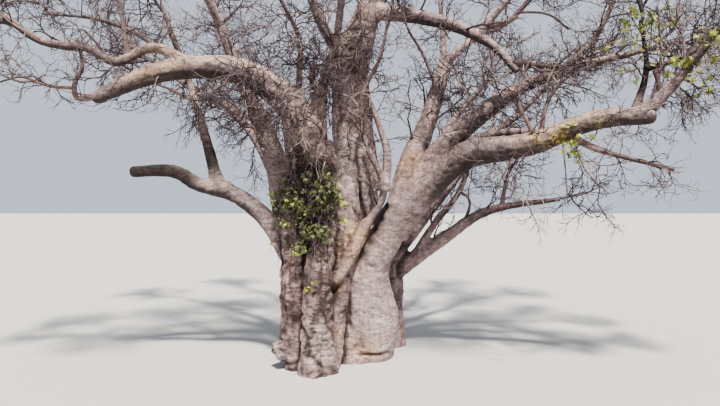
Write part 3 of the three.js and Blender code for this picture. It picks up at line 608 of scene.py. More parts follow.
def new_material(name, roughness, specular=None, colour=None):
    """A material, and its shader with the roughness, specular level and colour that are given."""
    made = bpy.data.materials.new(name)
    made.use_nodes = True
    shader = made.node_tree.nodes["Principled BSDF"]
    shader.inputs["Roughness"].default_value = roughness
    if specular is not None:
        shader.inputs["Specular IOR Level"].default_value = specular
    if colour is not None:
        shader.inputs["Base Color"].default_value = (*colour, 1)
    return made, shader


bark, shader = new_material("baobab_bark", 0.82, 0.25)
bark_nodes, bark_links = bark.node_tree.nodes, bark.node_tree.links


def fill_socket(socket, value):
    """Links another node's output to a socket, or sets its number or colour."""
    if isinstance(value, bpy.types.NodeSocket):
        bark_links.new(value, socket)
    else:
        socket.default_value = value


def node(kind, inputs=None, **settings):
    """One node of the bark. inputs maps a socket's name or number to a value or to an output."""
    made = bark_nodes.new(kind)
    for key, value in settings.items():
        setattr(made, key, value)
    for key, value in (inputs or {}).items():
        fill_socket(made.inputs[key], value)
    return made


def ramp(factor, stops):
    """A colour or grey that follows factor through (place, value) stops."""
    made = node("ShaderNodeValToRGB", {0: factor})
    line = made.color_ramp
    for i, (place, value) in enumerate(stops):
        stop = line.elements[i] if i < 2 else line.elements.new(place)
        stop.position = place
        stop.color = (*value, 1) if isinstance(value, tuple) else (value, value, value, 1)
    return made.outputs[0]


def speckle(vector, scale, detail=4.0, rough_share=0.55):
    """Fractal noise over a vector, from 0 to 1."""
    return node("ShaderNodeTexNoise", {"Vector": vector, "Scale": scale, "Detail": detail,
                                       "Roughness": rough_share}).outputs["Fac"]


def stretched(scale):
    """The place in the object with each axis scaled, so a pattern is drawn out or pressed together."""
    return node("ShaderNodeMapping", {"Vector": place, "Scale": scale}).outputs[0]


def over(factor, below, above, mode="MIX"):
    """The colour above over the colour below, by a factor."""
    made = node("ShaderNodeMix", data_type="RGBA", blend_type=mode, clamp_factor=True)
    for number, value in ((0, factor), (6, below), (7, above)):
        fill_socket(made.inputs[number], (*value, 1) if isinstance(value, tuple) else value)
    return made.outputs[2]


def combine(operation, a, b):
    """Two numbers joined by a sum, a product or another operation."""
    return node("ShaderNodeMath", {0: a, 1: b}, operation=operation).outputs[0]


def carried(name):
    """A number that the mesh carries at each corner."""
    return node("ShaderNodeAttribute", attribute_name=name).outputs["Fac"]


# Smooth bark is grey with lilac and tan in it, and rugged bark is pinker, blotched and darker.
place = node("ShaderNodeTexCoord").outputs["Object"]
rugged_share = carried("rugged")
smooth_bark = ramp(speckle(place, 0.6, 5, 0.6),
                   [(0.34, (0.306, 0.218, 0.208)), (0.46, (0.438, 0.334, 0.332)),
                    (0.56, (0.490, 0.378, 0.376)), (0.68, (0.423, 0.298, 0.256))])
rough_bark = ramp(speckle(place, 0.9, 6, 0.65),
                  [(0.40, (0.090, 0.060, 0.060)), (0.48, (0.296, 0.198, 0.198)),
                   (0.56, (0.510, 0.370, 0.366)), (0.66, (0.438, 0.307, 0.246))])
colour = over(rugged_share, smooth_bark, rough_bark)
pale_patches = ramp(speckle(stretched((1, 1, 1.8)), 2.4, 7, 0.65), [(0.53, 0.0), (0.66, 0.75)])
colour = over(pale_patches, colour, (0.570, 0.444, 0.424))
# Over that lie what the mesh carries, each with its strength and colour: painted light on the boughs'
# tops, tan bark, pale bark with painted light, thin limbs darker, painted shadow, and painted shade under
# the boughs. Then come mottle and streaks, pits, specks, painted shade in the creases, and lichen.
for name, strength, tint in (("painted_top_light", 1.0, (0.690, 0.538, 0.446)), ("tan", 0.75, (0.500, 0.330, 0.210)),
                             ("pale_bark_and_painted_light", 0.45, (0.650, 0.545, 0.520)), ("thin", 1.0, (0.158, 0.106, 0.098)),
                             ("painted_shadow", 0.94, (0.016, 0.012, 0.012)),
                             ("shade", 0.92, (0.060, 0.046, 0.048))):
    colour = over(combine("MULTIPLY", carried(name), strength), colour, tint)
mottle = ramp(speckle(stretched((1, 1, 1.4)), 3.6, 6, 0.7), [(0.40, 0.50), (0.54, 1.0)])
colour = over(0.6, colour, mottle, "MULTIPLY")
streaks = ramp(speckle(stretched((9, 9, 0.9)), 1.0, 5, 0.6), [(0.32, 0.55), (0.55, 1.0)])
colour = over(0.6, colour, streaks, "MULTIPLY")
pit_strength = node("ShaderNodeMapRange", {0: rugged_share, 3: 0.26, 4: 0.9}).outputs[0]
pits = combine("MULTIPLY", ramp(speckle(stretched((1, 1, 2.6)), 5.5, 8, 0.72), [(0.36, 1.0), (0.47, 0.0)]),
               pit_strength)
colour = over(pits, colour, (0.085, 0.058, 0.052))
specks = speckle(place, 30, 3, 0.6)
colour = over(0.6, colour, ramp(specks, [(0.36, 0.6), (0.54, 1.0)]), "MULTIPLY")
# Painted shade: the creases, clefts and cracks are darkened.
colour = over(carried("crease_shade"), colour, (0.050, 0.034, 0.030))
lichen = combine("MULTIPLY", ramp(speckle(place, 6.5, 6, 0.75), [(0.50, 0.0), (0.55, 0.9)]),
                 carried("lichen"))
colour = over(lichen, colour, (0.520, 0.400, 0.075))
bark_links.new(colour, shader.inputs["Base Color"])
# The bump has fine wrinkles across the limb, by the sine of the place along it, and pits and grain.
ripple = node("ShaderNodeMath", {0: carried("along"), 1: 21.0,
                                 2: combine("MULTIPLY", speckle(place, 2.2), 12.0)},
              operation="MULTIPLY_ADD").outputs[0]
wrinkles = combine("MULTIPLY", combine("SINE", ripple, 0.0), carried("sure"))
wrinkles = combine("MULTIPLY", wrinkles, ramp(speckle(place, 1.7, 3), [(0.40, 0.0), (0.58, 1.0)]))
height = combine("ADD", combine("MULTIPLY", wrinkles, 0.14), speckle(place, 8, 7, 0.72))
height = combine("SUBTRACT", height, combine("MULTIPLY", pits, 0.55))
height = combine("ADD", height, combine("MULTIPLY", specks, 0.2))
bump = node("ShaderNodeBump", {"Strength": 0.95, "Distance": 0.075, "Height": height})
bark_links.new(bump.outputs[0], shader.inputs["Normal"])


def dress(piece, materials, replaced):
    """A piece's materials, and what the frame is told of it: the body and the nodes."""
    for made in materials:
        piece.data.materials.append(made)
    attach(piece, "root")
    if replaced:
        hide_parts(*replaced)


# The skin in three pieces: the trunk, closed at the ground by a fan from its middle, and above its
# top the thick boughs to the left and right of a line.
TRUNK_TOP = 4.6
LEFT_OF = 0.2
middle = skin_verts[skin_quads].mean(axis=1)
thick_boughs = [n for n in bough_names if ends[n]]
thick_left = [n for n in thick_boughs if limbs[n].points[ends[n] // 2, 0] < LEFT_OF]
above = middle[:, 2] >= TRUNK_TOP
for name, chosen, replaced in (
        ("bark_trunk", ~above, ["trunk"]),
        ("bark_left_limbs", above & (middle[:, 0] < LEFT_OF), thick_left),
        ("bark_right_limbs", above & (middle[:, 0] >= LEFT_OF),
         [n for n in thick_boughs if n not in thick_left])):
    used, quads = np.unique(skin_quads[chosen], return_inverse=True)
    quads, tris = quads.reshape(-1, 4), None
    verts, normals = skin_verts[used], skin_normals[used]
    if name == "bark_trunk":
        here = {int(u): i for i, u in enumerate(used)}
        tris = [[here[int(b)], here[int(a)], len(verts)] for a, b in rim]
        verts = np.vstack([verts, [[0.0, 0.2, 0.0]]])
        normals = np.vstack([normals, [[0.0, 0.0, -1.0]]])
        used = np.append(used, used[0])
    piece = make_mesh(name, verts, quads, tris)
    bark_values(piece, verts, normals, skin_crease_shade[used], along[used], sure[used], stem[used],
                rugged[used], radius[used])
    piece.data.normals_split_custom_set_from_vertices(normals.astype(np.float32))
    dress(piece, [bark], replaced)


# The thin boughs and branches. They are the same bark on round limbs that grow from the thick ones,
# and the thin ends of the thick boughs are among them. Each is a swept tube with the same relief, a
# rounded tip and a wider foot inside what carries it.

# A branch is too thin for a solid of its own. It has the limb that carries it, its points, and its
# radius at root and tip, and it starts at the point of its carrier nearest to its first point.
BRANCHES = [
    ("branch_mast", "bough_left_far", [[-7.85, -3.5, 11.7], [-7.9, -3.65, 13.1], [-8.2, -3.7, 15]],
     0.105, 0.055),
    ("branch_hook", "bough_left_high", [[-8.6, -3.5, 10.3], [-9.05, -3.6, 10.15], [-9.48, -3.7, 10.1],
     [-9.55, -3.75, 10.6], [-9.3, -3.7, 11.2], [-9.5, -3.6, 12.2]], 0.12, 0.05),
    ("branch_hook_out", "branch_hook", [[-9.5, -3.75, 10.45], [-10.4, -4, 10.5], [-11.2, -4.2, 10.75],
     [-11.9, -4.4, 10.5]], 0.06, 0.03),
    ("branch_rising_left", "bough_left_rising", [[-6, -1.45, 10.35], [-6.47, -1.5, 10.66],
     [-7.02, -1.5, 10.92], [-7.49, -1.5, 11.12], [-8.3, -1.6, 11.9]], 0.07, 0.035),
    ("branch_rising_right", "bough_left_rising", [[-5.85, -1.5, 10.1], [-5.44, -1.5, 10.57],
     [-5.13, -1.45, 10.88], [-4.83, -1.4, 11.06], [-4.2, -1.3, 11.3]], 0.06, 0.03),
    ("branch_inner", "bough_left_high", [[-1.75, -1.9, 9.8], [-1.75, -2, 11.4], [-1.75, -2, 12.7],
     [-2.7, -2.6, 14.6]], 0.14, 0.06),
    ("branch_stub", "left_inner", [[-1, -1.75, 8.3], [-1.15, -1.95, 9.6], [-1.2, -2, 10.7],
     [-1.25, -2, 11.7]], 0.15, 0.11),
    ("branch_upright", "bough_right_upright", [[3.9, 1.2, 11.6], [3.3, 1.1, 13.1], [2.75, 0.9, 13.9],
     [2.2, 0.6, 15.2]], 0.09, 0.04),
    ("branch_ridge", "bough_right_low", [[4.3, -1, 8], [5.25, -0.9, 8.92], [6, -1, 9.14],
     [6.7, -1.3, 9.17], [7.4, -1.9, 9.1]], 0.24, 0.17),
    ("branch_low_one", "bough_right_low", [[7.25, -2.3, 8.7], [6.98, -2.35, 9.44], [6.66, -2.3, 10.1],
     [6.68, -2.25, 10.7], [6.87, -2.1, 11.3], [7.3, -2, 12.1]], 0.095, 0.04),
    ("branch_low_two", "bough_right_low", [[7.4, -2.4, 8.8], [7.72, -2.45, 10.24], [8.4, -2.5, 11.1],
     [9.4, -2.6, 11.6]], 0.1, 0.04),
    ("branch_low_three", "bough_right_low", [[10.7, -3.9, 9.6], [11.1, -4.1, 11.2], [11.05, -4, 13.2]],
     0.08, 0.035),
    ("branch_low_stub", "bough_right_low", [[10.8, -4, 9.6], [11.05, -4.1, 10.4], [10.9, -4.1, 11]],
     0.1, 0.08),
    ("branch_cross", "bough_low_up", [[10.8, -3.6, 11.2], [11.2, -3.9, 11.25], [11.8, -4.2, 11.4],
     [12.6, -4.6, 12]], 0.1, 0.05),
    ("branch_far_up", "bough_right_far", [[11.7, -4.5, 10.8], [11.75, -4.4, 11.8], [11.6, -4.2, 13.2]],
     0.06, 0.03),
    ("branch_loop", "bough_right_high", [[5.4, -1, 13], [5.68, -1.1, 13.46], [6.37, -1.15, 13.6],
     [6.85, -1.2, 13.86]], 0.14, 0.12),
    ("branch_level", "bough_right_high_fork", [[7, -1.3, 14], [7.9, -1.3, 13.95], [8.4, -1.3, 13.75],
     [8.9, -1.3, 13.3]], 0.06, 0.03),
    ("branch_pale", "bough_slender", [[1.55, -1.35, 6.8], [1.68, -1.3, 8.38], [1.32, -1.2, 9.62],
     [1.02, -1.1, 10.4]], 0.2, 0.1),
    ("branch_curl", "middle", [[0.1, 0.3, 9.9], [0.1, -0.1, 9.4], [0.22, -0.18, 8.65],
     [0.02, -0.2, 7.85], [0.39, -0.22, 8.23], [0.7, -0.1, 8.31]], 0.045, 0.02),
    ("branch_hang_one", "bough_right_low", [[6.6, -2.2, 8.4], [6.3, -2.4, 7.9], [6, -2.5, 7.4],
     [5.7, -2.5, 6.9]], 0.045, 0.02),
    ("branch_hang_two", "bough_right_low", [[8.5, -2.9, 8.8], [8.75, -3.1, 7.8], [9.05, -3.2, 7.3],
     [9.7, -3.2, 6.7]], 0.045, 0.02),
    ("branch_hang_pale", "bough_right_low", [[8.15, -2.8, 8.8], [8.17, -3, 7.6], [8.22, -3, 6.9],
     [8.27, -3, 6.3]], 0.035, 0.022),
    ("branch_low_back", "bough_back_low", [[6.75, 0.8, 6.1], [6.85, 0.7, 6.9], [6.95, 0.5, 7.6],
     [7.3, -0.2, 8.4]], 0.1, 0.05),
    ("branch_low_fork", "branch_low_back", [[6.85, 0.7, 6.9], [6.95, 0.5, 7.3], [6.93, 0.2, 8],
     [6.9, -0.4, 8.7]], 0.05, 0.03),
    ("branch_low_knot", "bough_back_low", [[5.05, 1.3, 5.35], [5.35, 1.2, 5.9], [5.4, 1, 6.5],
     [5, 0.9, 6.9]], 0.09, 0.04),
]
BRANCH_TAPER = 1.1
OVERLAP = 0.6
branch_names = [b[0] for b in BRANCHES]
for name, carrier, points, root_radius, tip_radius in BRANCHES:
    line = limbs[carrier].points
    root = line[np.argmin(np.sum((line - np.array(points[0])) ** 2, axis=1))]
    limbs[name] = Limb(np.vstack([root, points[1:]]), (root_radius, tip_radius), BRANCH_TAPER)
    ends[name] = 0
thin_tubes, thin_values = Bundle(), []
for name in bough_names + branch_names:
    limb = limbs[name]
    spacing = limb.length / (len(limb.points) - 1)
    first = max(0, ends[name] - int(OVERLAP / spacing))
    from_start = (np.arange(len(limb.points)) - first) * spacing
    if first == 0:
        swell = limb.radius * (1 + 0.45 * np.exp(-from_start / (2.5 * limb.radius[0])))
    else:
        swell = limb.radius * (0.9 + 0.1 * ease(from_start, 0, 0.5))
    sides = 14 if limb.radius[first] > 0.12 else 10
    verts, quads, picks = tube(limb, swell, sides, first, None, 1, True)
    rows = len(picks)
    picks = np.repeat(picks, sides)
    turn = np.tile(np.linspace(0, 2 * math.pi, sides, endpoint=False), rows)
    out = unit(verts - limb.points[picks])
    here, along = limb.radius[picks], limb.share[picks] * limb.length
    push, crease_shade = relief(verts, along, turn, here, np.ones(len(verts)),
                          np.full(len(verts), limb.rugged))
    verts = verts + out * np.clip(push, -0.25 * here, 0.3 * here)[:, None]
    thin_tubes.add(verts, quads, end_caps(sides, rows))
    thin_values.append((verts, out, crease_shade, along, here))
verts, out, crease_shade, along, here = (np.concatenate(values) for values in zip(*thin_values))
piece = thin_tubes.mesh("bark_thin_boughs")
bark_values(piece, verts, out, crease_shade, along, np.ones(len(verts)), np.zeros(len(verts)),
            np.full(len(verts), 0.35), here)
dress(piece, [bark], [n for n in bough_names if not ends[n]])


# The crown's bare twigs. They are thin and crooked, with smooth grey bark, and they grow from the
# boughs' tips and along the boughs. One stem runs through each mass, side twigs leave it in turn at
# the golden angle, and finer twigs fork from each, down to four levels of closed tapering rods.

# A mass has the piece it belongs to, the name that it shares with its bough, its heading and climb in
# degrees, the length and width of its space, an ellipsoid that starts at the bough's tip, and how
# full it is.
MASSES = [
    ("left", "left_high", 186, -6, 4.8, 4, 0.35), ("left", "left_far", 184, 10, 4.2, 4.2, 0.8),
    ("left", "left_spray", 160, 36, 4.6, 4.8, 1.25), ("left", "left_rising", 168, 52, 5.2, 5.4, 1.15),
    ("left", "left_back", 120, 62, 5.8, 5.4, 1), ("left", "front_left", 238, 18, 5.4, 5.6, 0.75),
    ("top", "top_left", 160, 64, 5.8, 5.6, 0.9), ("top", "front_top", 258, 38, 6, 5.6, 0.75),
    ("top", "leader", 200, 76, 3, 6, 1), ("right", "right_high", -24, -8, 3.4, 3, 0.55),
    ("right", "right_high_fork", -12, 46, 4.8, 4.6, 1.4), ("right", "upright_left", 95, 58, 5, 5.2, 1),
    ("right", "upright_right", 30, 30, 5.2, 5, 1.35), ("right", "right_far", -28, 34, 4.4, 4.8, 1.3),
    ("right", "right_middle", 10, 8, 4.2, 4.2, 1.3), ("right", "middle_up", 14, 48, 4.8, 4.8, 1.3),
    ("right", "low_up", 250, 66, 3.4, 3.6, 0.9), ("right", "back_low", 0, 10, 2.8, 2.4, 0.4),
    ("top", "slender", 40, 72, 2.4, 2.2, 0.8), ("back", "back_left", 118, 24, 5.8, 6.6, 1),
    ("back", "back_far_left", 158, 24, 5.8, 6.6, 1), ("back", "back_right", 62, 28, 5.8, 6.6, 1),
    ("back", "back_far_right", 28, 26, 5.6, 6.4, 1), ("top", "top_back", 108, 26, 5.4, 6.2, 1),
    ("top", "front_right", 292, 8, 5.4, 5.8, 0.75), ("top", "right_crown", 30, 22, 4.6, 5.6, 1),
]
GOLDEN_ANGLE = 2.4
UP = np.array([0.0, 0.0, 1.0])


def heading_of(heading, climb):
    """The unit vector at a heading round Z from +X and a climb above level, in degrees."""
    h, c = math.radians(heading), math.radians(climb)
    return np.array([math.cos(h) * math.cos(c), math.sin(h) * math.cos(c), math.sin(c)])


def spun(vectors, axes, angle):
    """Each vector turned by an angle round its unit axis: v cos a + (k x v) sin a + k(k.v)(1 - cos a)."""
    c, s = np.cos(angle)[:, None], np.sin(angle)[:, None]
    along = np.sum(axes * vectors, axis=1, keepdims=True)
    return vectors * c + np.cross(axes, vectors) * s + axes * along * (1 - c)


def turned(direction, angle, side):
    """Each direction turned away by an angle, towards a side given by a second angle."""
    across = unit(np.cross(np.array([0.3, 0.2, 0.9]), direction))
    return spun(direction, spun(across, direction, side), angle)


carriers = [limbs["bough_" + m[1]] for m in MASSES]
spaces = [(limb.points[-1], heading_of(heading, climb), [length / 2, width / 2])
          for limb, (_, _, heading, climb, length, width, _) in zip(carriers, MASSES)]
# The last space is the whole crown, for twigs that grow along the boughs.
spaces.append((np.array([0.6, 1.9, 0.0]), UP, [11.8, 15.4]))
space_root, space_axis, space_size = (np.array(values) for values in zip(*spaces))
space_centre = space_root + space_axis * space_size[:, :1]
CROWN = len(MASSES)


def in_space(points, home):
    """Each point in its space's own measure: 0 at the centre, length 1 at the surface."""
    offset = points - space_centre[home]
    along = np.sum(offset * space_axis[home], axis=1, keepdims=True)
    long, wide = space_size[home][:, :1], space_size[home][:, 1:]
    return offset / wide + space_axis[home] * along * (1 / long - 1 / wide)


def reach(points, heading, home):
    """How far each point may go along its heading before it leaves its space: the root of
    |p + t d|^2 = 1 in the space's own measure."""
    p = in_space(points, home)
    d = in_space(points + heading, home) - p
    a, b, c = (np.sum(q, axis=1) for q in (d * d, p * d, p * p))
    return np.maximum((-b + np.sqrt(np.maximum(b * b - a * (c - 1), 0))) / a, 0.05)


def grow(start, heading, length, crook, lift, home, steps):
    """Paths of twigs, by twig, point and axis. Each step turns a little at random and a little up
    or down, and turns back towards the middle of its space near the space's surface."""
    place, way, path = start, heading, [start]
    for _ in range(steps):
        depth = np.linalg.norm(in_space(place, home), axis=1, keepdims=True)
        inward = unit(space_centre[home] - place)
        way = unit(way + crook * rng.normal(size=way.shape) + lift[:, None] * UP
                   + inward * 0.7 * ease(depth, 0.86, 1.05))
        place = place + way * (length / steps)[:, None]
        path.append(place)
    return np.stack(path, axis=1)


class Twigs:
    """Twigs of one level: their paths, radii at root and tip, the space they grow in, the number of
    the spray that they share a colour with, and how much they droop."""

    FIELDS = ("path", "thick", "thin", "home", "spray", "droop")

    def __init__(self, *values):
        self.path, self.thick, self.thin, self.home, self.spray, self.droop = values
        self.length = np.linalg.norm(np.diff(self.path, axis=1), axis=2).sum(axis=1)

    def pick(self, chosen):
        """The chosen twigs alone."""
        return Twigs(*[getattr(self, f)[chosen] for f in self.FIELDS])


coarse_points = line_points[::2]
coarse_radius = line_radius[::2] * 1.08


def clear_of_limbs(path):
    """Whether the outer points of each path lie outside every limb."""
    points = path[:, path.shape[1] // 2:].reshape(-1, 3)
    nearest = np.concatenate([(squares_between(p, coarse_points) - coarse_radius**2).min(axis=1)
                              for p in np.array_split(points, len(points) // (LOT // 2) + 1)])
    return (nearest > 0).reshape(len(path), -1).all(axis=1)


# Open air, as boxes from low to high corner, where no twig goes: below the outer half of the high
# left bough the sky shows clear.
OPEN_AIR = [((-14.0, -9.0, 6.0), (-5.0, -2.3, 9.75)), ((-14.0, -2.3, 6.0), (-7.2, 1.0, 9.9))]
MARGIN = 0.05


def inside_box(path):
    """Whether each path stays inside the solids' own box and out of the open air."""
    low, high = np.array(cad_box[0]) + MARGIN, np.array(cad_box[1]) - MARGIN
    inside = ((path > low) & (path < high)).all(axis=(1, 2))
    for low, high in OPEN_AIR:
        inside &= ~((path > low) & (path < high)).all(axis=2).any(axis=1)
    return inside


def fork(parents, spacing, shares, angle, length, crook, lift, steps, thick, thin, keep=1.0):
    """The next level: twigs that leave their parents about spacing metres apart between two shares
    of the parent's length, at an angle between two values, each turned on by the golden angle."""
    count = np.maximum(1, np.round(parents.length * (shares[1] - shares[0]) / spacing
                                   + rng.uniform(-0.4, 0.4, len(parents.length)))).astype(int)
    owner = np.repeat(np.arange(len(count)), count)
    order = np.arange(len(owner)) - np.repeat(np.cumsum(count) - count, count)
    share = shares[0] + (shares[1] - shares[0]) * (order + rng.uniform(0.1, 0.9, len(owner))) \
        / count[owner]
    joints = parents.path.shape[1] - 1
    k = np.minimum((share * joints).astype(int), joints - 1)
    part = (share * joints - k)[:, None]
    before, after = parents.path[owner, k], parents.path[owner, k + 1]
    start = before + (after - before) * part
    heading = turned(unit(after - before), rng.uniform(*angle, len(owner)),
                     order * GOLDEN_ANGLE + owner * 1.7 + rng.uniform(-0.5, 0.5, len(owner)))
    home = parents.home[owner]
    long = rng.uniform(*length, len(owner)) * (1.15 - 0.45 * share)
    long = np.minimum(long, 0.97 * reach(start, heading, home))
    path = grow(start, heading, long, crook, lift + parents.droop[owner], home, steps)
    here = parents.thick[owner] + (parents.thin - parents.thick)[owner] * share
    root = np.minimum(here * 0.85, thick * rng.uniform(0.85, 1.2, len(owner)))
    made = Twigs(path, root, np.full(len(owner), thin), home, parents.spray[owner],
                 parents.droop[owner])
    fine = (long > 0.35 * length[0]) & clear_of_limbs(path) & (rng.random(len(owner)) < keep) \
        & inside_box(path)
    return made.pick(fine)


def join_levels(*levels):
    """Twigs of the same number of points, as one level."""
    return Twigs(*[np.concatenate([getattr(t, f) for t in levels]) for f in Twigs.FIELDS])


def sprout(rows, thin, crook, spray):
    """Twigs of level one, of eight steps, from rows of their start, heading, length, radius at the
    root, lift and space. Those that run into a limb or out of the box are left out."""
    start, way, length, thick, lift, home = (np.array(values) for values in zip(*rows))
    path = grow(start, way, length, crook, lift, home, 8)
    droop = np.where(home == CROWN, lift, 0.0)
    made = Twigs(path, thick, np.full(len(path), thin), home, spray + np.arange(len(path)), droop)
    return made.pick(clear_of_limbs(path) & inside_box(path))


# Level one in the masses: the stem through each space, and its side twigs out to the surface.
SIDE_SPACING = 0.34
homes = np.arange(CROWN)
tip_radius = np.array([limb.radius[-1] for limb in carriers])
fullness = np.array([m[6] for m in MASSES])
stem_path = grow(np.array([limb.points[-4] for limb in carriers]), space_axis[:CROWN],
                 space_size[:CROWN, 0] * 2 * 0.92, 0.16, np.where(fullness < 0.4, 0.10, 0.0), homes, 10)
mass_stems = Twigs(stem_path, np.where(fullness < 0.5, 0.035, tip_radius * 0.95),
                   np.full(CROWN, 0.016), homes, homes, np.zeros(CROWN))
rows = []
for i in homes:
    count = int(round(space_size[i, 0] * 2 / SIDE_SPACING * MASSES[i][6]))
    for j in range(count):
        share = 0.05 + 0.88 * j / count
        k = int(share * 10)
        start = stem_path[i, k] + (stem_path[i, k + 1] - stem_path[i, k]) * (share * 10 - k)
        way = turned(unit(space_axis[i:i + 1]), np.array([rng.uniform(0.6, 1.05)]),
                     np.array([j * GOLDEN_ANGLE + i]))[0]
        rows.append((start, way, max(0.034, min(0.07, tip_radius[i] * 0.62 * (1 - share))), i))
start, way, thick, home = (np.array(values) for values in zip(*rows))
sides = sprout(list(zip(start, way, 0.95 * reach(start, way, home), thick, np.full(len(home), 0.03),
                        home)), 0.012, 0.20, CROWN)

# Level one along the boughs: side twigs past the first third, more of them on the thin boughs.
BARE = ("bough_left_low", "branch_pale", "branch_ridge", "branch_hang_pale", "branch_loop")
SPARSE = ("bough_right_bare", "bough_back_low", "bough_back_rising", "bough_left_high",
          "branch_hook_out", "branch_curl", "bough_right_low")
rows = []
for name in bough_names + branch_names:
    if name in BARE:
        continue
    limb = limbs[name]
    first = 0.30 if limb.length > 4 else 0.12
    count = max(2, int(limb.length * (1 - first) / (1.6 if name in SPARSE else 0.75)))
    for j in range(count):
        share = first + (0.98 - first) * (j + rng.random()) / count
        k = int(share * (len(limb.points) - 1))
        side = j * GOLDEN_ANGLE + rng.uniform(-0.6, 0.6)
        out = limb.normal[k] * math.cos(side) + limb.binormal[k] * math.sin(side)
        if out[2] < -0.3 and rng.random() < 0.5:
            out = out * np.array([1, 1, -1])
        lean = rng.uniform(0.5, 1.2)
        way = unit(limb.tangent[k] * math.cos(lean) + out * math.sin(lean))
        length = (rng.uniform(1.0, 2.8) * (0.6 if name in SPARSE else 1)
                  * min(1, 0.4 + 0.2 * limb.length))
        rows.append((limb.points[k] + out * limb.radius[k] * 0.75, way, length,
                     float(np.clip(limb.radius[k] * 0.32, 0.022, 0.05)),
                     rng.choice([-0.07, 0.0, 0.05]), CROWN))
bough_twigs = sprout(rows, 0.011, 0.24, 5000)

# Sprays that hang: the limb, the shares of its length between which they leave it, how many, their
# headings and climbs in degrees, and their lengths.
HANGING = [
    ("bough_left_high", 0.1, 0.42, 24, (165, 305), (-55, 15), (0.7, 1.5)),
    ("bough_left_high", 0.75, 0.99, 5, (140, 235), (-70, -10), (0.6, 1.2)),
    ("bough_left_back", 0.33, 0.62, 6, (150, 235), (-40, 30), (1, 2)),
    ("bough_left_rising", 0.3, 0.75, 7, (150, 330), (-50, 20), (0.7, 1.5)),
    ("bough_front_top", 0.02, 0.5, 14, (190, 350), (-50, 35), (0.8, 1.7)),
    ("branch_inner", 0.3, 0.9, 8, (170, 300), (-40, 40), (0.8, 1.6)),
    ("branch_stub", 0.6, 0.98, 5, (180, 330), (-20, 50), (0.5, 1.1)),
    ("bough_leader", 0.02, 0.2, 10, (200, 340), (-35, 35), (0.9, 1.8)),
    ("bough_right_low", 0.35, 0.9, 9, (205, 335), (-70, -10), (0.6, 1.3)),
    ("bough_right_middle", 0.25, 0.7, 12, (220, 330), (-60, 30), (0.8, 1.6)),
    ("bough_right_upright", 0.45, 0.9, 6, (190, 350), (-30, 40), (0.8, 1.6)),
    ("bough_right_far", 0.1, 0.6, 9, (270, 385), (-35, 35), (0.5, 1.1)),
    ("bough_right_bare", 0.8, 0.99, 3, (300, 360), (-60, 0), (0.5, 0.9)),
]
rows = []
for name, low, high, count, headings, climbs, lengths in HANGING:
    limb = limbs[name]
    for _ in range(count):
        k = int((low + (high - low) * rng.random()) * (len(limb.points) - 1))
        way = heading_of(rng.uniform(*headings), rng.uniform(*climbs))
        out = way - limb.tangent[k] * np.dot(way, limb.tangent[k])
        out = out / np.linalg.norm(out)
        rows.append((limb.points[k] + out * limb.radius[k] * 0.85, way, rng.uniform(*lengths),
                     rng.uniform(0.022, 0.040), rng.uniform(-0.12, -0.02), CROWN))
hanging = sprout(rows, 0.010, 0.26, 0)
dense = fork(hanging, 0.36, (0.15, 1.0), (0.5, 1.1), (0.5, 1.2), 0.28, -0.01, 5, 0.020, 0.010)

# The finer levels. A fork is told its parents, how far apart its twigs stand, the shares of the parent
# between which they leave it, their angles, their lengths, how crooked they are, how they lift, their
# steps, their radii at root and tip, and the share of them that is kept.
level_one = join_levels(sides, bough_twigs, hanging)
level_two = fork(level_one, 0.36, (0.16, 1.0), (0.55, 1.05), (0.8, 1.9), 0.26, 0.02, 5, 0.027, 0.013)
from_stems = fork(mass_stems, 0.45, (0.2, 1.0), (0.6, 1.2), (0.8, 1.8), 0.26, 0.02, 5, 0.027, 0.013)
level_two = join_levels(level_two, from_stems, dense)
level_two.spray = 10000 + np.arange(len(level_two.spray))
level_three = fork(level_two, 0.21, (0.15, 1.0), (0.5, 1.1), (0.4, 1.0), 0.30, 0.02, 3, 0.018, 0.010)
level_four = fork(level_three, 0.165, (0.2, 1.0), (0.5, 1.1), (0.18, 0.5), 0.32, 0.03, 2, 0.0125, 0.008,
                  0.75)


def rods(twigs, sides):
    """Closed tapering rods round the twigs' paths: rings of points at radius r along the normal and
    binormal, drawn to one point at the tip, with the root end closed."""
    path = twigs.path
    count, joints, _ = path.shape
    tangent = unit(np.gradient(path, axis=1))
    mean = np.abs(path[:, -1] - path[:, 0])
    square = np.eye(3)[np.argmin(mean, axis=1)][:, None]
    normal = unit(np.cross(np.broadcast_to(square, tangent.shape), tangent))
    binormal = np.cross(tangent, normal)
    angle = np.linspace(0, 2 * math.pi, sides, endpoint=False)[:, None]
    radius = twigs.thick[:, None] + (twigs.thin - twigs.thick)[:, None] * np.linspace(0, 1, joints)
    ring = (path[:, :-1, None] + radius[:, :-1, None, None]
            * (np.cos(angle) * normal[:, :-1, None] + np.sin(angle) * binormal[:, :-1, None]))
    verts = np.concatenate([ring.reshape(count, -1, 3), path[:, -1:]], axis=1)
    last = np.arange((joints - 2) * sides, (joints - 1) * sides)
    tip = np.full(sides, (joints - 1) * sides)
    quads = ring_quads(sides, joints - 1)
    tris = np.concatenate([np.stack([last, np.roll(last, -1), tip], axis=1),
                           end_caps(sides, 1)[:sides - 2]])
    shift = np.arange(count) * verts.shape[1]
    return (verts.reshape(-1, 3), (quads + shift[:, None, None]).reshape(-1, 4),
            (tris + shift[:, None, None]).reshape(-1, 3),
            np.repeat(twigs.spray, len(quads)), np.repeat(twigs.spray, len(tris)))


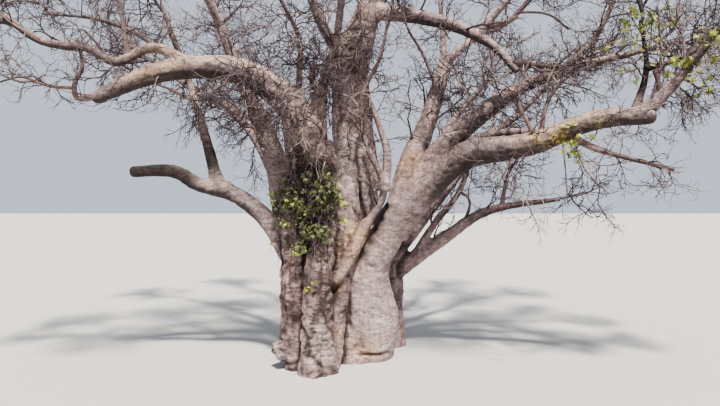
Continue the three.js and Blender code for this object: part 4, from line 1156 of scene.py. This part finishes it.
# Each spray takes one of four plain colours, from dark umber to pale grey-tan, so the crown is
# mottled as the real one is.
TWIG_COLOURS = [("twig_umber", (0.056, 0.039, 0.038)), ("twig_purple", (0.104, 0.075, 0.086)),
                ("twig_grey", (0.180, 0.140, 0.142)), ("twig_pale", (0.350, 0.275, 0.240))]
twig_materials = [new_material(name, 0.75, 0.3, colour)[0] for name, colour in TWIG_COLOURS]
MOST_SPRAYS = 40000
tone_of_spray = rng.choice(4, MOST_SPRAYS, p=[0.34, 0.38, 0.20, 0.08])


def joined_twigs(name, groups, replaced):
    """One piece of twigs from (twigs, sides) groups, each spray in its own colour."""
    rods_of_piece, quad_tones, tri_tones = Bundle(), [], []
    for twigs, sides in groups:
        if len(twigs.thick):
            verts, quads, tris, quad_spray, tri_spray = rods(twigs, sides)
            rods_of_piece.add(verts, quads, tris)
            quad_tones.append(tone_of_spray[quad_spray])
            tri_tones.append(tone_of_spray[tri_spray])
    piece = rods_of_piece.mesh(name)
    dress(piece, twig_materials, replaced)
    piece.data.polygons.foreach_set(
        "material_index", np.concatenate(quad_tones + tri_tones).astype(np.int32))


levels = [(mass_stems, 6), (level_one, 5), (level_two, 4), (level_three, 3), (level_four, 3)]
for crown in ("left", "top", "right", "back"):
    numbers = [i for i in homes if MASSES[i][0] == crown]
    joined_twigs("crown_" + crown, [(t.pick(np.isin(t.home, numbers)), s) for t, s in levels],
                 ["twigs_" + MASSES[i][1] for i in numbers])
for name, low, high in (("along_left_boughs", -99, -2.2), ("along_middle_boughs", -2.2, 4.2),
                        ("along_right_boughs", 4.2, 99)):
    joined_twigs(name, [(t.pick((t.home == CROWN) & (t.path[:, 0, 0] >= low)
                                & (t.path[:, 0, 0] < high)), s) for t, s in levels], ())


# The trunk's leafy shoots. They are thin, dark and woody, and they hang down the front of the left
# stems. Their stems run down close to the bark, and short twigs stand off them, denser at the top.
VINES, VINE_JOINTS = 44, 9
vine_path = []
for _ in range(VINES):
    limb = limbs[rng.choice(["left_outer", "left_inner"])]
    top, foot = rng.uniform(6.5, 8.3), rng.uniform(2.8, 6.4)
    heights = np.linspace(top, foot, VINE_JOINTS)
    k = np.searchsorted(limb.points[:, 2], heights).clip(0, len(limb.points) - 1)
    facing = np.radians(rng.uniform(212, 322) + np.cumsum(rng.normal(0, 7, VINE_JOINTS)))
    out = np.stack([np.cos(facing), np.sin(facing), np.zeros(VINE_JOINTS)], axis=1)
    stand = limb.radius[k] * 1.03 + np.abs(rng.normal(0, 0.09, VINE_JOINTS)) + 0.02
    vine_path.append(limb.points[k] * [1, 1, 0] + heights[:, None] * UP + out * stand[:, None])
vines = Twigs(np.array(vine_path), rng.uniform(0.012, 0.022, VINES), np.full(VINES, 0.008),
              np.full(VINES, CROWN), 39000 + np.arange(VINES), np.full(VINES, -0.10))
shoots = fork(vines, 0.22, (0.0, 1.0), (0.7, 1.5), (0.35, 1.0), 0.30, 0.0, 5, 0.012, 0.005)
shoot_height = shoots.path[:, 0, 2]
shoots = shoots.pick((shoots.path[:, -1, 1] < -1.6) & (rng.random(len(shoot_height))
                     < np.interp(shoot_height, [2.5, 4.5, 6.5, 8.5], [0.15, 0.6, 1.0, 1.0])))
shoots.spray = 30000 + np.arange(len(shoots.spray))
shoot_twigs = fork(shoots, 0.17, (0.1, 1.0), (0.5, 1.2), (0.15, 0.45), 0.34, 0.0, 2, 0.007, 0.004)
joined_twigs("trunk_shoots", [(vines, 4), (shoots, 3), (shoot_twigs, 3)],
             ("shoots_upper", "shoots_lower"))


# The young leaves. Each is hand-shaped and soft, of five leaflets on one point, folded along their
# ribs. They stand in sprays on the shoots and at the ends of a few twigs on the right.
LEAF_COLOURS = [("leaf_lime", (0.400, 0.430, 0.090)), ("leaf_green", (0.170, 0.200, 0.070)),
                ("leaf_olive", (0.082, 0.098, 0.045))]
leaf_materials = [new_material(name, 0.5, colour=colour)[0] for name, colour in LEAF_COLOURS]
# A spray has its centre, how far it reaches, and the most leaves that it holds.
LEAF_SPRAYS = [
    ((8.6, -3.1, 8.6), 0.8, 130), ((11.9, -4.6, 10.8), 0.85, 150), ((12.7, -4.9, 11.8), 0.8, 110),
    ((10.5, -3.6, 13.1), 0.6, 80), ((10.3, -3.6, 11.8), 1.1, 70), ((11.3, -3.8, 12.8), 0.6, 60),
    ((-1.75, -2.6, 4.4), 0.45, 34), ((-0.9, -2.9, 3.5), 0.35, 16), ((-1.4, -2.8, 3.4), 0.3, 10),
    ((-0.1, -1.9, 5.7), 0.6, 40), ((-3.1, -1.6, 6.5), 0.5, 40),
]
LEAFLETS = ((-72, 0.66), (-36, 0.88), (0, 1.0), (36, 0.88), (72, 0.66))
LEAFLET = ((0.58, -0.15, 0.03), (1.0, 0.0, -0.10), (0.58, 0.15, 0.03), (0.55, 0.0, -0.05))
leaf_verts, leaf_tris = [(0.0, 0.0, 0.0)], []
for turn, long in LEAFLETS:
    c, s = math.cos(math.radians(turn)), math.sin(math.radians(turn))
    first = len(leaf_verts)
    leaf_verts += [(long * (x * c - y * s), long * (x * s + y * c), long * z) for x, y, z in LEAFLET]
    leaf_tris += [(0, first, first + 3), (first, first + 1, first + 3),
                  (first + 1, first + 2, first + 3), (first + 2, 0, first + 3)]
leaf_verts, leaf_tris = np.array(leaf_verts), np.array(leaf_tris)


def joined_leaves(name, spots, ways, sizes, tones):
    """One piece of leaves: the leaf's corners times its size, set in a frame of its own heading, a
    side square to it and up, and moved to its spot."""
    level = unit(np.cross(UP + 0.7 * rng.normal(size=ways.shape), ways))
    frames = np.stack([ways, level, np.cross(ways, level)], axis=1) * sizes[:, None, None]
    verts = spots[:, None] + leaf_verts @ frames
    tris = leaf_tris + (np.arange(len(spots)) * len(leaf_verts))[:, None, None]
    piece = make_mesh(name, verts.reshape(-1, 3), None, tris.reshape(-1, 3), smooth=False)
    dress(piece, leaf_materials, ())
    piece.data.polygons.foreach_set("material_index",
                                    np.repeat(tones, len(leaf_tris)).astype(np.int32))


def leaves_on(twigs, count, shares):
    """Spots and headings of count leaves on each twig, between two shares of its length."""
    owner = np.repeat(np.arange(len(twigs.thick)), count)
    joints = twigs.path.shape[1] - 1
    share = rng.uniform(*shares, len(owner)) * joints
    k = np.minimum(share.astype(int), joints - 1)
    before, after = twigs.path[owner, k], twigs.path[owner, k + 1]
    way = turned(unit(after - before), rng.uniform(0.3, 1.3, len(owner)),
                 rng.uniform(0, 6.28, len(owner)))
    return before + (after - before) * (share - k)[:, None], way, twigs.spray[owner]


foot = shoot_twigs.path[:, 0]
leafy = shoot_twigs.pick((foot[:, 2] < 7.6) & (foot[:, 2] > 4.5) & (foot[:, 0] > -2.85)
                         & (noise(foot, 0.55, 21) > -0.03))
spots, ways, sprays = leaves_on(leafy, 3, (0.3, 1.0))
tone_of_leaf = rng.choice(3, MOST_SPRAYS, p=[0.08, 0.36, 0.56])
leaf_groups = [(spots, ways, rng.uniform(0.08, 0.15, len(spots)), tone_of_leaf[sprays])]
fine_twigs = (level_three, level_four, shoots)
fine_ends = np.vstack([t.path[:, -1] for t in fine_twigs])
fine_ways = np.vstack([unit(t.path[:, -1] - t.path[:, -2]) for t in fine_twigs])
for centre, size, count in LEAF_SPRAYS:
    near = np.flatnonzero(np.linalg.norm(fine_ends - np.array(centre), axis=1) < size)
    count = min(count, 5 * len(near))
    chosen = rng.choice(near, count)
    spots = fine_ends[chosen] + rng.normal(0, 0.03, (count, 3))
    ways = turned(fine_ways[chosen], rng.uniform(0.2, 1.4, count), rng.uniform(0, 6.28, count))
    leaf_groups.append((spots, ways, rng.uniform(0.12, 0.20, count),
                        np.where(rng.random(count) < 0.75, 0, 1)))
joined_leaves("young_leaves", *[np.concatenate(group) for group in zip(*leaf_groups)])


# The floor, light and camera. The floor is plain and pale, under a pale even sky. One broad light
# stands high in front, a little to the right. The camera stands where the photograph was taken from,
# level with the tree's first great boughs.
FLOOR = 400
corners = [(x * FLOOR, y * FLOOR, -0.004) for x, y in ((-1, -1), (1, -1), (1, 1), (-1, 1))]
floor = make_mesh("floor", corners, [[0, 1, 2, 3]], smooth=False)
floor.data.materials.append(new_material("pale_floor", 0.9, colour=(0.45, 0.44, 0.42))[0])

scene = bpy.context.scene
world = bpy.data.worlds.new("pale_sky")
world.use_nodes = True
sky = world.node_tree.nodes["Background"]
sky.inputs["Color"].default_value = (0.80, 0.87, 1.0, 1)
sky.inputs["Strength"].default_value = 0.76
scene.world = world
scene.view_settings.look = "AgX - Medium High Contrast"
sun = bpy.data.lights.new("key", "SUN")
sun.energy = 8.9
sun.angle = math.radians(4)
sun.color = (1.0, 0.95, 0.87)
key = bpy.data.objects.new("key", sun)
key.rotation_euler = Vector((-0.10, 0.52, -0.84)).to_track_quat("-Z", "Y").to_euler()
scene.collection.objects.link(key)

lens = bpy.data.cameras.new("view")
lens.lens = 28.5
lens.sensor_width = 36
lens.clip_end = 1000
view = bpy.data.objects.new("view", lens)
view.location = (0.6, -24.0, 6.3)
view.rotation_euler = (math.radians(90.2), 0, 0)
scene.collection.objects.link(view)
scene.camera = view
